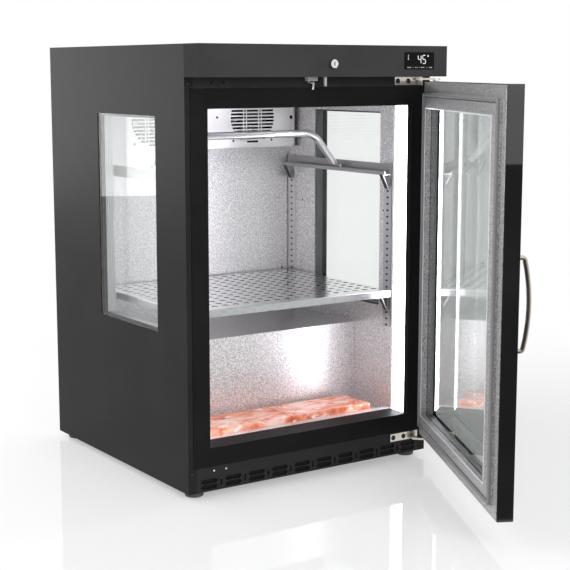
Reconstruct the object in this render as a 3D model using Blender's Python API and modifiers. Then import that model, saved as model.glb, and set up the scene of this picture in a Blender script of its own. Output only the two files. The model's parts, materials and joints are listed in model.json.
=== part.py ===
"""Dry aging cabinet: a cooled cabinet with a glass door, side windows and a hanging bar.

Metres, +Z up. The pieces are modelled in the cabinet's own frame: x runs from the left
side, y from the front edge of the side panels and z from the floor, with the door closed.
add_piece() then moves each one to the part's origin, which is the middle of the bottom of
its box at rest, and hangs the door's pieces on an empty that stands on the hinge axis and
holds the door open.
"""
import math

import bmesh
import bpy
from mathutils import Matrix, Quaternion, Vector

# Casing
WIDTH = 0.600
DEPTH = 0.596
HEIGHT = 0.8898
SHEET = 0.0012
FLANGE = 0.018
SKIRT = 0.012
FOOT_HEIGHT = 0.013
GRILLE_HEIGHT = 0.050
HEADER_HEIGHT = 0.0213
FASCIA_HEIGHT = 0.0625
FASCIA_DEPTH = 0.0537
FASCIA_SHEET = 0.0015
BASE_SHEET = 0.0015
INSULATION_FRONT = 0.0123

# Clearances
CLEARANCE = 0.0003
OVERRUN = 0.004
SINK = 0.0008
WELD = 0.00001

# Chamber
WALL = 0.040
LINER = 0.001
CEILING_DROP = 0.006
FLOOR_RISE = 0.0245
REAR_WALL = 0.126
STEP_FRONT = 0.205
STEP_HEIGHT = 0.185
RECESS_DEPTH = 0.060
RECESS_HEIGHT = 0.132
SILL_DEPTH = 0.0557
MACHINE_WALL = 0.046
MACHINE_CEILING = 0.0405
INSULATION_BOTTOM = 0.050
INSULATION_TOP = 0.041

# Side windows
WINDOW_FRONT = 0.1161
WINDOW_REAR_GAP = 0.1039
WINDOW_BOTTOM = 0.3222
WINDOW_CEILING_GAP = 0.0485
PANE = 0.004
PANE_MARGIN = 0.008

# Front frame, which the door's gasket lands on
FRAME_SIDE = 0.0116
FRAME_RING = 0.0383
FRAME_FACE = 0.0016
FRAME_BODY = 0.012
LINTEL_GAP = 0.001

# Door
DOOR_SIDE_GAP = 0.001
DOOR_TOP_GAP = 0.0095
DOOR_UNDERLAP = 0.0088
DOOR_SETBACK = 0.0102
DOOR_THICKNESS = 0.0312
DOOR_RING = 0.054
PANE_REBATE = 0.010
REBATE_DEPTH = 0.0043
SECOND_PANE_DEPTH = 0.0067
OPEN_ANGLE = math.radians(63.38)

# Hinge axis, from the right side of the cabinet and the front edge of the side panels
HINGE_INSET = 0.0119
HINGE_FORWARD = 0.0346
PIN_RADIUS = 0.004

# Levels and planes worked out from these
FASCIA_BOTTOM = HEIGHT - FASCIA_HEIGHT
FRAME_TOP = FASCIA_BOTTOM - HEADER_HEIGHT
FRAME_BOTTOM = FOOT_HEIGHT + GRILLE_HEIGHT
OPENING_SIDE = FRAME_SIDE + FRAME_RING
OPENING_BOTTOM = FRAME_BOTTOM + FRAME_RING
OPENING_TOP = FRAME_TOP - FRAME_RING
CEILING = FRAME_TOP - CEILING_DROP
FLOOR = FRAME_BOTTOM + FLOOR_RISE
REAR = DEPTH - REAR_WALL
WINDOW_REAR = REAR - WINDOW_REAR_GAP
WINDOW_TOP = CEILING - WINDOW_CEILING_GAP
STEP_TOP = FLOOR + STEP_HEIGHT
RECESS_BACK = REAR + RECESS_DEPTH
RECESS_FLOOR = CEILING - RECESS_HEIGHT
MACHINE_FRONT = STEP_FRONT + MACHINE_WALL
MACHINE_TOP = STEP_TOP - MACHINE_CEILING
REAR_PANEL = DEPTH - SKIRT + CLEARANCE + SHEET / 2
BASE_TOP = FOOT_HEIGHT + BASE_SHEET
SIDE_INSIDE = SHEET + CLEARANCE
DOOR_FRONT = DOOR_SETBACK - FASCIA_DEPTH
DOOR_BACK = DOOR_FRONT + DOOR_THICKNESS
DOOR_TOP = FASCIA_BOTTOM - DOOR_TOP_GAP
DOOR_BOTTOM = FRAME_BOTTOM - DOOR_UNDERLAP
DOOR_LEFT = DOOR_SIDE_GAP
DOOR_RIGHT = WIDTH - DOOR_SIDE_GAP
HINGE_X = WIDTH - HINGE_INSET
HINGE_Y = -HINGE_FORWARD

FLAT = Matrix.Identity(4)
FRONT = Matrix(((1, 0, 0, 0), (0, 0, 1, 0), (0, 1, 0, 0), (0, 0, 0, 1)))
SIDE = Matrix(((0, 0, 1, 0), (1, 0, 0, 0), (0, 1, 0, 0), (0, 0, 0, 1)))
ALONG_Y = Matrix.Rotation(math.radians(-90), 4, "X")
ALONG_X = Matrix.Rotation(math.radians(90), 4, "Y")

ROUND_STEPS = 16
SMALL_STEPS = 8
ARC_STEPS = 4

# Finishes: colour, roughness and metallic value
FINISHES = {
    "casing": ((0.085, 0.085, 0.088), 0.45, 0.3),
    "black": ((0.018, 0.018, 0.02), 0.4, 0.2),
    "fascia": ((0.05, 0.05, 0.053), 0.35, 0.3),
    "stucco": ((0.72, 0.73, 0.76), 0.35, 0.8),
    "steel": ((0.62, 0.62, 0.63), 0.3, 1.0),
    "nickel": ((0.75, 0.72, 0.66), 0.3, 1.0),
    "chrome": ((0.8, 0.8, 0.8), 0.1, 1.0),
    "zinc": ((0.5, 0.51, 0.52), 0.5, 0.9),
    "aluminium": ((0.7, 0.71, 0.72), 0.4, 1.0),
    "plastic": ((0.02, 0.02, 0.022), 0.5, 0.0),
    "diffuser": ((0.95, 0.94, 1.0), 0.4, 0.0),
    "rubber": ((0.02, 0.02, 0.02), 0.8, 0.0),
    "glass": ((0.75, 0.8, 0.8), 0.05, 0.0),
    "foam": ((0.8, 0.76, 0.6), 0.9, 0.0),
    "salt": ((0.8, 0.33, 0.17), 0.6, 0.0),
}


def swung(x, y):
    """Where a point of the closed door lies when the door stands open."""
    arm = Matrix.Rotation(OPEN_ANGLE, 2) @ Vector((x - HINGE_X, y - HINGE_Y))
    return arm + Vector((HINGE_X, HINGE_Y))


HINGE_CORNER = swung(DOOR_RIGHT, DOOR_FRONT)
FREE_CORNER = swung(DOOR_LEFT, DOOR_FRONT)
ORIGIN = Vector((max(WIDTH, HINGE_CORNER.x) / 2, (DEPTH + FREE_CORNER.y) / 2, 0))


# Flat outlines


def rectangle_points(u_low, u_high, v_low, v_high):
    return [(u_low, v_low), (u_high, v_low), (u_high, v_high), (u_low, v_high)]


def arc_points(centre, radius, start, end, steps):
    """Points along an arc, from one angle to another in degrees."""
    angles = [math.radians(start + (end - start) * step / steps) for step in range(steps + 1)]
    return [(centre[0] + radius * math.cos(a), centre[1] + radius * math.sin(a)) for a in angles]


def circle_points(centre, radius, steps):
    return arc_points(centre, radius, 0, 360, steps)[:-1]


def clear_radius(radius, steps):
    """Radius of a faceted hole that clears a round pin by the clearance, flats included."""
    return (radius + CLEARANCE) / math.cos(math.pi / steps)


def slot_points(centre, width, height, steps):
    """A slot with round ends: the longer side says which way it runs."""
    radius = min(width, height) / 2
    reach = max(width, height) / 2 - radius
    if width > height:
        right = arc_points((centre[0] + reach, centre[1]), radius, -90, 90, steps)
        return right + arc_points((centre[0] - reach, centre[1]), radius, 90, 270, steps)
    top = arc_points((centre[0], centre[1] + reach), radius, 0, 180, steps)
    return top + arc_points((centre[0], centre[1] - reach), radius, 180, 360, steps)


def block_points(centre, width, height):
    u, v = centre
    return rectangle_points(u - width / 2, u + width / 2, v - height / 2, v + height / 2)


def link_points(first, first_radius, second, second_radius, steps):
    """The outline round two circles: an arm from one boss to another."""
    along = Vector(second) - Vector(first)
    heading = math.degrees(math.atan2(along.y, along.x))
    lean = math.degrees(math.asin((second_radius - first_radius) / along.length))
    far = arc_points(second, second_radius, heading - 90 - lean, heading + 90 + lean, steps)
    near = arc_points(first, first_radius, heading + 90 + lean, heading + 270 - lean, steps)
    return far + near


def offset_line(points, distance):
    """The same line moved sideways, to the left where the distance is positive, with mitres."""
    points = [Vector(point) for point in points]
    normals = [(b - a).orthogonal().normalized() for a, b in zip(points, points[1:])]
    before = normals[:1] + normals
    after = normals + normals[-1:]
    moved = []
    for point, first, second in zip(points, before, after):
        moved.append(point + (first + second) * distance / (1 + first.dot(second)))
    return [tuple(point) for point in moved]


# Meshes, all in the cabinet's frame


def outline_bmesh(outline, holes, thickness):
    """A filled outline with its holes: a sheet of no thickness, or a plate."""
    curve = bpy.data.curves.new("outline", "CURVE")
    curve.dimensions = "2D"
    curve.fill_mode = "BOTH"
    curve.extrude = thickness / 2
    for points in [outline, *holes]:
        spline = curve.splines.new("POLY")
        spline.points.add(len(points) - 1)
        for point, (u, v) in zip(spline.points, points):
            point.co = (u, v, 0, 1)
        spline.use_cyclic_u = True
    holder = bpy.data.objects.new("outline", curve)
    mesh = bpy.data.meshes.new_from_object(holder)
    bpy.data.objects.remove(holder)
    bm = bmesh.new()
    bm.from_mesh(mesh)
    bmesh.ops.remove_doubles(bm, verts=bm.verts, dist=WELD)
    return bm


def plate(outline, low, high, facing, holes=()):
    """An outline that fills the space between two levels of its third axis."""
    bm = outline_bmesh(outline, holes, high - low)
    bm.transform(facing @ Matrix.Translation((0, 0, (low + high) / 2)))
    return bm


def sheet(outline, level, facing, holes=()):
    """An outline of no thickness, to be folded and then made solid."""
    bm = outline_bmesh(outline, holes, 0)
    bm.transform(facing @ Matrix.Translation((0, 0, level)))
    return bm


def fold(bm, chosen, along):
    """Draw the chosen free edges out along a vector, as folded flanges."""
    edges = []
    for edge in bm.edges:
        ends = [vert.co for vert in edge.verts]
        if edge.is_boundary and all(chosen(co) for co in (*ends, (ends[0] + ends[1]) / 2)):
            edges.append(edge)
    drawn = bmesh.ops.extrude_edge_only(bm, edges=edges)["geom"]
    verts = [item for item in drawn if isinstance(item, bmesh.types.BMVert)]
    bmesh.ops.translate(bm, verts=verts, vec=along)


def within(value, low, high):
    return low + WELD < value < high - WELD


def strip(points, direction):
    """A polyline swept along a vector: the middle of a bent sheet."""
    bm = bmesh.new()
    verts = [bm.verts.new(point) for point in points]
    edges = [bm.edges.new(pair) for pair in zip(verts, verts[1:])]
    drawn = bmesh.ops.extrude_edge_only(bm, edges=edges)["geom"]
    ends = [item for item in drawn if isinstance(item, bmesh.types.BMVert)]
    bmesh.ops.translate(bm, verts=ends, vec=direction)
    return bm


def box(low, high):
    bm = bmesh.new()
    add_box(bm, low, high)
    return bm


def add_box(bm, low, high):
    low, high = Vector(low), Vector(high)
    size = Matrix.Diagonal((*(high - low), 1))
    bmesh.ops.create_cube(bm, size=1, matrix=Matrix.Translation((low + high) / 2) @ size)


def cylinder(centre, radius, low, high, turn, steps):
    """A cylinder on the line through a centre, between two distances along the line."""
    bm = bmesh.new()
    middle = Matrix.Translation((0, 0, (low + high) / 2))
    place = Matrix.Translation(centre) @ turn @ middle
    bmesh.ops.create_cone(bm, cap_ends=True, segments=steps, radius1=radius, radius2=radius,
                          depth=high - low, matrix=place)
    return bm


def tube(points, radius, resolution):
    """A round tube along points, as a mesh."""
    holder = bpy.data.objects.new("tube", tube_curve(points, radius, resolution))
    mesh = bpy.data.meshes.new_from_object(holder)
    bpy.data.objects.remove(holder)
    bm = bmesh.new()
    bm.from_mesh(mesh)
    bmesh.ops.remove_doubles(bm, verts=bm.verts, dist=WELD)
    return bm


def tube_curve(points, radius, resolution):
    curve = bpy.data.curves.new("tube", "CURVE")
    curve.dimensions = "3D"
    curve.bevel_depth = radius
    curve.bevel_resolution = resolution
    curve.use_fill_caps = True
    spline = curve.splines.new("POLY")
    spline.points.add(len(points) - 1)
    for point, place in zip(spline.points, points):
        point.co = (*place, 1)
    return curve


def rounded_path(points, radius, steps):
    """Straight runs joined by arcs of one radius."""
    points = [Vector(point) for point in points]
    path = [points[0]]
    for before, corner, after in zip(points, points[1:], points[2:]):
        back = (before - corner).normalized()
        ahead = (after - corner).normalized()
        half = back.angle(ahead) / 2
        centre = corner + (back + ahead).normalized() * radius / math.sin(half)
        arm = corner + back * radius / math.tan(half) - centre
        swing = arm.rotation_difference(corner + ahead * radius / math.tan(half) - centre)
        for step in range(steps + 1):
            path.append(centre + Quaternion().slerp(swing, step / steps) @ arm)
    return path + [points[-1]]


def frame_ring(low, high, section):
    """A rectangular frame: each point of its section is an inset from the outline and a y."""
    middle = ((low[0] + high[0]) / 2, (low[1] + high[1]) / 2)
    bm = bmesh.new()
    inset, y = section[0]
    corners = rectangle_points(low[0] + inset, high[0] - inset, low[1] + inset, high[1] - inset)
    verts = [bm.verts.new((x, y, z)) for x, z in corners]
    edges = [bm.edges.new(pair) for pair in zip(verts, verts[1:] + verts[:1])]
    for inset, y in section[1:] + section[:1]:
        drawn = bmesh.ops.extrude_edge_only(bm, edges=edges)["geom"]
        verts = [item for item in drawn if isinstance(item, bmesh.types.BMVert)]
        edges = [e for e in drawn if isinstance(e, bmesh.types.BMEdge) and set(e.verts) <= set(verts)]
        for vert in verts:
            x = low[0] + inset if vert.co.x < middle[0] else high[0] - inset
            z = low[1] + inset if vert.co.z < middle[1] else high[1] - inset
            vert.co = (x, y, z)
    bmesh.ops.remove_doubles(bm, verts=bm.verts, dist=WELD)
    return bm


def mirrored(bm):
    """The same piece for the other side of the cabinet."""
    bm.transform(Matrix.Translation((WIDTH, 0, 0)) @ Matrix.Diagonal((-1, 1, 1, 1)))
    bmesh.ops.reverse_faces(bm, faces=bm.faces)
    bm.normal_update()
    return bm


def handed(bm, side):
    return mirrored(bm) if side == "right" else bm


def handed_x(x, side):
    return WIDTH - x if side == "right" else x


# Objects


def material(name, finish):
    colour, roughness, metallic = FINISHES[finish]
    made = bpy.data.materials.new(name)
    made.use_nodes = True
    shader = made.node_tree.nodes["Principled BSDF"]
    shader.inputs["Base Color"].default_value = (*colour, 1)
    shader.inputs["Roughness"].default_value = roughness
    shader.inputs["Metallic"].default_value = metallic
    made.diffuse_color = (*colour, 1)
    return made


def add_piece(name, bm, finish, pivot=(0, 0, 0), door=False, smooth=False):
    """One piece of the part, with its origin on the pivot."""
    obj = bpy.data.objects.new(name, finished_mesh(name, bm, pivot, smooth))
    obj.data.materials.append(material(name, finish))
    pieces.objects.link(obj)
    place(obj, pivot, door)
    return obj


def finished_mesh(name, bm, pivot, smooth):
    bm.normal_update()
    bmesh.ops.recalc_face_normals(bm, faces=bm.faces)
    bm.transform(Matrix.Translation(-Vector(pivot)))
    mesh = bpy.data.meshes.new(name)
    bm.to_mesh(mesh)
    bm.free()
    for polygon in mesh.polygons:
        polygon.use_smooth = smooth
    if smooth:
        mesh.set_sharp_from_angle(angle=math.radians(35))
    return mesh


def place(obj, pivot, door):
    if door:
        obj.parent = door_axis
        obj.location = Vector(pivot) - Vector((HINGE_X, HINGE_Y, 0))
    else:
        obj.location = Vector(pivot) - ORIGIN


def turned(name, profile, centre, turn, finish, steps=ROUND_STEPS, door=False):
    """A turned piece: (radius, height) points from its top to its bottom, revolved."""
    bm = bmesh.new()
    verts = [bm.verts.new((radius, 0, height)) for radius, height in profile]
    for pair in zip(verts, verts[1:]):
        bm.edges.new(pair)
    mesh = bpy.data.meshes.new(name)
    bm.to_mesh(mesh)
    bm.free()
    mesh.materials.append(material(name, finish))
    obj = bpy.data.objects.new(name, mesh)
    pieces.objects.link(obj)
    place(obj, centre, door)
    obj.rotation_euler = turn.to_euler()
    screw = obj.modifiers.new("revolve", "SCREW")
    screw.axis = "Z"
    screw.steps = steps
    screw.render_steps = steps
    screw.use_merge_vertices = True
    screw.merge_threshold = WELD
    screw.use_smooth_shade = True
    return obj


def thicken(obj, thickness):
    """Make a folded sheet solid, half to each side of its middle."""
    solid = obj.modifiers.new("thickness", "SOLIDIFY")
    solid.thickness = thickness
    solid.offset = 0
    solid.solidify_mode = "NON_MANIFOLD"
    solid.nonmanifold_thickness_mode = "CONSTRAINTS"


def soften(obj, width, segments):
    bevel = obj.modifiers.new("edges", "BEVEL")
    bevel.width = width
    bevel.segments = segments
    bevel.limit_method = "ANGLE"


def helper(obj, bm):
    """A hidden solid that cuts or joins a piece, in that piece's own frame."""
    mesh = bpy.data.meshes.new(obj.name + "_helper")
    bm.normal_update()
    bmesh.ops.recalc_face_normals(bm, faces=bm.faces)
    if obj.parent:
        bm.transform(Matrix.Translation((-HINGE_X, -HINGE_Y, 0)))
    else:
        bm.transform(Matrix.Translation(-ORIGIN))
    bm.to_mesh(mesh)
    bm.free()
    made = bpy.data.objects.new(obj.name + "_helper", mesh)
    made.parent = obj.parent
    made.hide_render = True
    made.display_type = "WIRE"
    helpers.objects.link(made)
    return made


def boolean(obj, bm, operation, thickness=None):
    tool = helper(obj, bm)
    if thickness:
        thicken(tool, thickness)
    step = obj.modifiers.new(operation.lower(), "BOOLEAN")
    step.operation = operation
    step.solver = "EXACT"
    step.object = tool
    return tool


def cut(obj, bm):
    return boolean(obj, bm, "DIFFERENCE")


def join(obj, bm, thickness=None):
    return boolean(obj, bm, "UNION", thickness)


# Casing


def side_panel(side):
    """Outer side sheet with its window and the flange that shows at the front."""
    middle = SHEET / 2
    outline = rectangle_points(middle, DEPTH, FOOT_HEIGHT, HEIGHT)
    window = rectangle_points(WINDOW_FRONT, WINDOW_REAR, WINDOW_BOTTOM, WINDOW_TOP)
    bm = sheet(outline, middle, SIDE, [window])
    fold(bm, lambda co: co.y < SHEET, (FLANGE - middle, 0, 0))
    panel = add_piece(side + "_side_panel", handed(bm, side), "casing")
    thicken(panel, SHEET)


def top_panel():
    """Top sheet between the side panels, folded down beside them and at the back."""
    side = SIDE_INSIDE + SHEET / 2
    back = DEPTH - SHEET / 2
    outline = rectangle_points(side, WIDTH - side, SHEET + CLEARANCE, back)
    bm = sheet(outline, HEIGHT - SHEET / 2, FLAT)
    fold(bm, lambda co: not (within(co.x, side, WIDTH - side) and co.y < back - WELD), (0, 0, -SKIRT))
    thicken(add_piece("top_panel", bm, "casing"), SHEET)


VENT_COLUMNS = 2
VENT_ROWS = 6
VENT_SLOT = (0.200, 0.006)
VENT_PITCH = (0.240, 0.024)
VENT_BOTTOM = 0.045
GLAND_INSET = 0.060
GLAND_HEIGHT = 0.055
GLAND_RADIUS = 0.009
GLAND_BORE = 0.004
GLAND_REACH = 0.0075


def rear_panel():
    """Back sheet set between the side panels, with vents and a gland for the mains lead."""
    side = SIDE_INSIDE + SHEET / 2
    bottom = FOOT_HEIGHT + SHEET / 2
    top = HEIGHT - SHEET - SKIRT - CLEARANCE - SHEET / 2
    vents = []
    for column in range(VENT_COLUMNS):
        for row in range(VENT_ROWS):
            x = WIDTH / 2 + (column - (VENT_COLUMNS - 1) / 2) * VENT_PITCH[0]
            vents.append(block_points((x, VENT_BOTTOM + row * VENT_PITCH[1]), *VENT_SLOT))
    bm = sheet(rectangle_points(side, WIDTH - side, bottom, top), REAR_PANEL, FRONT, vents)
    fold(bm, lambda co: not (within(co.x, side, WIDTH - side) and within(co.z, bottom, top)),
         (0, DEPTH - REAR_PANEL, 0))
    panel = add_piece("rear_panel", bm, "zinc")
    thicken(panel, SHEET)
    centre = (GLAND_INSET, REAR_PANEL, GLAND_HEIGHT)
    join(panel, cylinder(centre, GLAND_RADIUS, 0, GLAND_REACH, ALONG_Y, SMALL_STEPS))
    cut(panel, cylinder(centre, GLAND_BORE, -OVERRUN, GLAND_REACH + OVERRUN, ALONG_Y, SMALL_STEPS))


FOOT_INSET = 0.030
FOOT_RADIUS = 0.019
STEM_RADIUS = 0.004
STEM_HEIGHT = 0.010
FOOT_GROOVE = 0.0025
FOOT_PLACES = {
    "front_left": (FOOT_INSET, FOOT_INSET),
    "front_right": (WIDTH - FOOT_INSET, FOOT_INSET),
    "rear_left": (FOOT_INSET, DEPTH - FOOT_INSET),
    "rear_right": (WIDTH - FOOT_INSET, DEPTH - FOOT_INSET),
}


def base_pan():
    """Bottom tray that the machine and the feet stand on, with holes for the foot stems."""
    middle = FOOT_HEIGHT + BASE_SHEET / 2
    side = SIDE_INSIDE + BASE_SHEET / 2
    back = REAR_PANEL - SHEET / 2 - CLEARANCE
    stems = [circle_points(xy, clear_radius(STEM_RADIUS, SMALL_STEPS), SMALL_STEPS)
             for xy in FOOT_PLACES.values()]
    bm = sheet(rectangle_points(side, WIDTH - side, INSULATION_FRONT, back), middle, FLAT, stems)
    fold(bm, lambda co: not within(co.x, side, WIDTH - side), (0, 0, SKIRT))
    thicken(add_piece("base_pan", bm, "zinc"), BASE_SHEET)


def foot(name, xy):
    """Round levelling foot, with its threaded stem through the base pan."""
    top = FOOT_HEIGHT - CLEARANCE
    waist = FOOT_RADIUS - FOOT_GROOVE
    profile = [(0, FOOT_HEIGHT + STEM_HEIGHT), (STEM_RADIUS, FOOT_HEIGHT + STEM_HEIGHT),
               (STEM_RADIUS, top), (waist, top), (FOOT_RADIUS, top - FOOT_GROOVE),
               (FOOT_RADIUS, 0), (0, 0)]
    turned("foot_" + name, profile, (*xy, 0), FLAT, "rubber")


SCREW_X = (0.0587, 0.087)
SCREW_RADIUS = 0.0022


def header_rail():
    """Cross rail behind the control box; its lower strip shows above the door."""
    middle = SHEET / 2
    side = FLANGE + CLEARANCE
    bottom = FRAME_TOP + middle
    top = HEIGHT - SHEET - CLEARANCE - middle
    level = (FRAME_TOP + FASCIA_BOTTOM) / 2
    holes = [circle_points((x, level), SCREW_RADIUS, SMALL_STEPS) for x in SCREW_X]
    bm = sheet(rectangle_points(side, WIDTH - side, bottom, top), middle, FRONT, holes)
    fold(bm, lambda co: not within(co.z, bottom, top), (0, INSULATION_FRONT - CLEARANCE - middle, 0))
    thicken(add_piece("header_rail", bm, "casing"), SHEET)


GROUP_PITCH = 0.0561
GROUP_WIDTH = 0.040
SLOT_ROWS = ((0.0222, 0.0098), (0.03365, 0.0091))
SLIT = (0.0035, 0.0128)
SLIT_HEIGHT = 0.0274


def bottom_grille():
    """Front air grille: pairs of long slots with a short slit between the pairs."""
    middle = SHEET / 2
    side = FLANGE + CLEARANCE
    bottom = FOOT_HEIGHT + middle
    top = FRAME_BOTTOM - CLEARANCE - middle
    slots = []
    groups = int((WIDTH - 2 * side) / GROUP_PITCH)
    for group in range(groups):
        x = WIDTH / 2 + (group - (groups - 1) / 2) * GROUP_PITCH
        for level, height in SLOT_ROWS:
            slots.append(slot_points((x, level), GROUP_WIDTH, height, 2))
        if group < groups - 1:
            slots.append(block_points((x + GROUP_PITCH / 2, SLIT_HEIGHT), *SLIT))
    bm = sheet(rectangle_points(side, WIDTH - side, bottom, top), middle, FRONT, slots)
    fold(bm, lambda co: not within(co.z, bottom, top), (0, INSULATION_FRONT - CLEARANCE - middle, 0))
    thicken(add_piece("bottom_grille", bm, "black"), SHEET)


def front_frame():
    """Frame round the opening, with a deep sill and lintel that trim the chamber's edge."""
    low = (FRAME_SIDE, FRAME_BOTTOM)
    high = (WIDTH - FRAME_SIDE, FRAME_TOP - CLEARANCE)
    step = FLANGE + CLEARANCE - FRAME_SIDE
    section = [(0, -FRAME_FACE), (FRAME_RING, -FRAME_FACE), (FRAME_RING, FRAME_BODY),
               (step, FRAME_BODY), (step, -CLEARANCE), (0, -CLEARANCE)]
    frame = add_piece("front_frame", frame_ring(low, high, section), "black")
    side = OPENING_SIDE + LINTEL_GAP
    sill_top = OPENING_BOTTOM - CLEARANCE
    lintel_bottom = OPENING_TOP + CLEARANCE
    join(frame, box((side, FRAME_BODY - SINK, FLOOR + CLEARANCE), (WIDTH - side, SILL_DEPTH, sill_top)))
    join(frame, box((side, FRAME_BODY - SINK, lintel_bottom),
                    (WIDTH - side, SILL_DEPTH, CEILING - CLEARANCE)))


# Chamber


def chamber_outline(out, front):
    """The chamber seen from the side, grown outwards by a distance: front, then anticlockwise."""
    return [(front, FLOOR - out), (STEP_FRONT + out, FLOOR - out), (STEP_FRONT + out, STEP_TOP - out),
            (REAR + out, STEP_TOP - out), (REAR + out, RECESS_FLOOR - out),
            (RECESS_BACK + out, RECESS_FLOOR - out), (RECESS_BACK + out, CEILING + out),
            (front, CEILING + out)]


def insulation():
    """Foam between casing and liner, hollowed for the chamber, the machine and the windows."""
    back = REAR_PANEL - SHEET / 2 - CLEARANCE
    low = (SIDE_INSIDE, INSULATION_FRONT, INSULATION_BOTTOM)
    high = (WIDTH - SIDE_INSIDE, back, CEILING + INSULATION_TOP)
    foam = add_piece("insulation", box(low, high), "foam")
    inside = WALL - LINER - CLEARANCE
    hollow = chamber_outline(LINER + CLEARANCE, INSULATION_FRONT - OVERRUN)
    cut(foam, plate(hollow, inside, WIDTH - inside, SIDE))
    cut(foam, box((-OVERRUN, MACHINE_FRONT, INSULATION_BOTTOM - OVERRUN),
                  (WIDTH + OVERRUN, DEPTH, MACHINE_TOP)))
    margin = PANE_MARGIN + CLEARANCE
    windows = bmesh.new()
    for side in ("left", "right"):
        ends = sorted((handed_x(-OVERRUN, side), handed_x(WALL, side)))
        add_box(windows, (ends[0], WINDOW_FRONT - margin, WINDOW_BOTTOM - margin),
                (ends[1], WINDOW_REAR + margin, WINDOW_TOP + margin))
    cut(foam, windows)


def liner_side(side):
    """Stucco side sheet of the chamber; its window edge turns outwards to hold the panes."""
    middle = WALL - LINER / 2
    outline = chamber_outline(LINER, INSULATION_FRONT)
    window = rectangle_points(WINDOW_FRONT, WINDOW_REAR, WINDOW_BOTTOM, WINDOW_TOP)
    bm = sheet(outline, middle, SIDE, [window])
    fold(bm, lambda co: within(co.y, WINDOW_FRONT - SHEET, WINDOW_REAR + SHEET)
         and within(co.z, WINDOW_BOTTOM - SHEET, WINDOW_TOP + SHEET),
         (SIDE_INSIDE + PANE + CLEARANCE - middle, 0, 0))
    liner = add_piece("liner_" + side, handed(bm, side), "stucco")
    thicken(liner, LINER)


def liner_wrap():
    """One folded sheet: chamber ceiling, coil recess, back, step and floor."""
    outline = chamber_outline(LINER / 2, SILL_DEPTH + CLEARANCE)
    start = WALL + CLEARANCE
    bm = strip([(start, y, z) for y, z in outline], (WIDTH - start - start, 0, 0))
    thicken(add_piece("liner_wrap", bm, "stucco"), LINER)


def window_panes(side):
    """Two panes: the outer one behind the side panel, the inner one in the liner's edge."""
    outer = rectangle_points(WINDOW_FRONT - PANE_MARGIN, WINDOW_REAR + PANE_MARGIN,
                             WINDOW_BOTTOM - PANE_MARGIN, WINDOW_TOP + PANE_MARGIN)
    inset = LINER / 2 + CLEARANCE
    inner = rectangle_points(WINDOW_FRONT + inset, WINDOW_REAR - inset,
                             WINDOW_BOTTOM + inset, WINDOW_TOP - inset)
    bm = plate(outer, SIDE_INSIDE, SIDE_INSIDE + PANE, SIDE)
    add_piece("window_outer_" + side, handed(bm, side), "glass")
    bm = plate(inner, WALL - LINER - PANE, WALL - LINER, SIDE)
    add_piece("window_inner_" + side, handed(bm, side), "glass")


LIGHT_WIDTH = 0.0067
LIGHT_FRONT = 0.0125
LIGHT_BACK = 0.066
LIGHT_END_GAP = 0.004
LIGHT_ROUND = 0.0025


def light_strip(side):
    """Light diffuser that fills the height of the chamber behind the front frame."""
    low = (WALL + CLEARANCE, LIGHT_FRONT, FLOOR + CLEARANCE)
    high = (WALL + CLEARANCE + LIGHT_WIDTH, LIGHT_BACK, CEILING - LIGHT_END_GAP)
    lamp = add_piece("light_strip_" + side, handed(box(low, high), side), "diffuser")
    soften(lamp, LIGHT_ROUND, 1)


# Fan cover, fans and coil

COVER_DEPTH = 0.045
COVER_HEIGHT = 0.137
COVER_SHEET = 0.0012
COVER_SIDE_GAP = 0.002
COVER_ROUND = 0.025
GRILLE_X = 0.174
GRILLE_DROP = 0.068
GRILLE_RADIUS = 0.059
GRILLE_PITCH = 0.0079
GRILLE_SLOT = 0.0035
GRILLE_COLUMNS = ((-0.059, -0.026), (-0.015, 0.015), (0.026, 0.059))
GRILLE_ROWS = 15
SHORTEST_SLOT = 0.005
COVER_EDGE_HOLE = 0.066

COVER_FRONT = REAR - COVER_DEPTH
COVER_BOTTOM = CEILING - COVER_HEIGHT
GRILLE_Z = CEILING - GRILLE_DROP


def grille_slots(centre_x):
    """Rows of slots in three columns, each clipped by the circle of the grille."""
    bm = bmesh.new()
    for row in range(GRILLE_ROWS):
        z = (row - (GRILLE_ROWS - 1) / 2) * GRILLE_PITCH
        reach = math.sqrt(max(GRILLE_RADIUS ** 2 - z ** 2, 0))
        for start, end in GRILLE_COLUMNS:
            left, right = max(start, -reach), min(end, reach)
            if right - left < SHORTEST_SLOT:
                continue
            add_box(bm, (centre_x + left, COVER_FRONT - OVERRUN, GRILLE_Z + z - GRILLE_SLOT / 2),
                    (centre_x + right, COVER_FRONT + OVERRUN, GRILLE_Z + z + GRILLE_SLOT / 2))
    return bm


def evaporator_cover():
    """Fan cover with rounded ends and two round slotted grilles."""
    middle = COVER_FRONT + COVER_SHEET / 2
    left = WALL + COVER_SIDE_GAP + COVER_SHEET / 2
    radius = COVER_ROUND - COVER_SHEET / 2
    back = REAR - CLEARANCE
    corner = (left + radius, middle + radius)
    left_end = [(left, back), *arc_points(corner, radius, 180, 270, 5)]
    right_end = [(WIDTH - x, y) for x, y in reversed(left_end)]
    bottom = COVER_BOTTOM + COVER_SHEET / 2
    bm = sheet(left_end + right_end, bottom, FLAT)
    top = CEILING - CLEARANCE
    fold(bm, lambda co: True, (0, 0, top - bottom))
    opened = [f for f in bm.faces if all(v.co.y > back - WELD for v in f.verts)]
    bmesh.ops.delete(bm, geom=opened, context="FACES")
    cover = add_piece("evaporator_cover", bm, "stucco")
    thicken(cover, COVER_SHEET)
    slots = grille_slots(GRILLE_X)
    cut(cover, slots)
    cut(cover, grille_slots(WIDTH - GRILLE_X))
    hole = cylinder((COVER_EDGE_HOLE, middle, GRILLE_Z), SCREW_RADIUS, -OVERRUN, OVERRUN,
                    ALONG_Y, SMALL_STEPS)
    cut(cover, hole)


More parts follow.
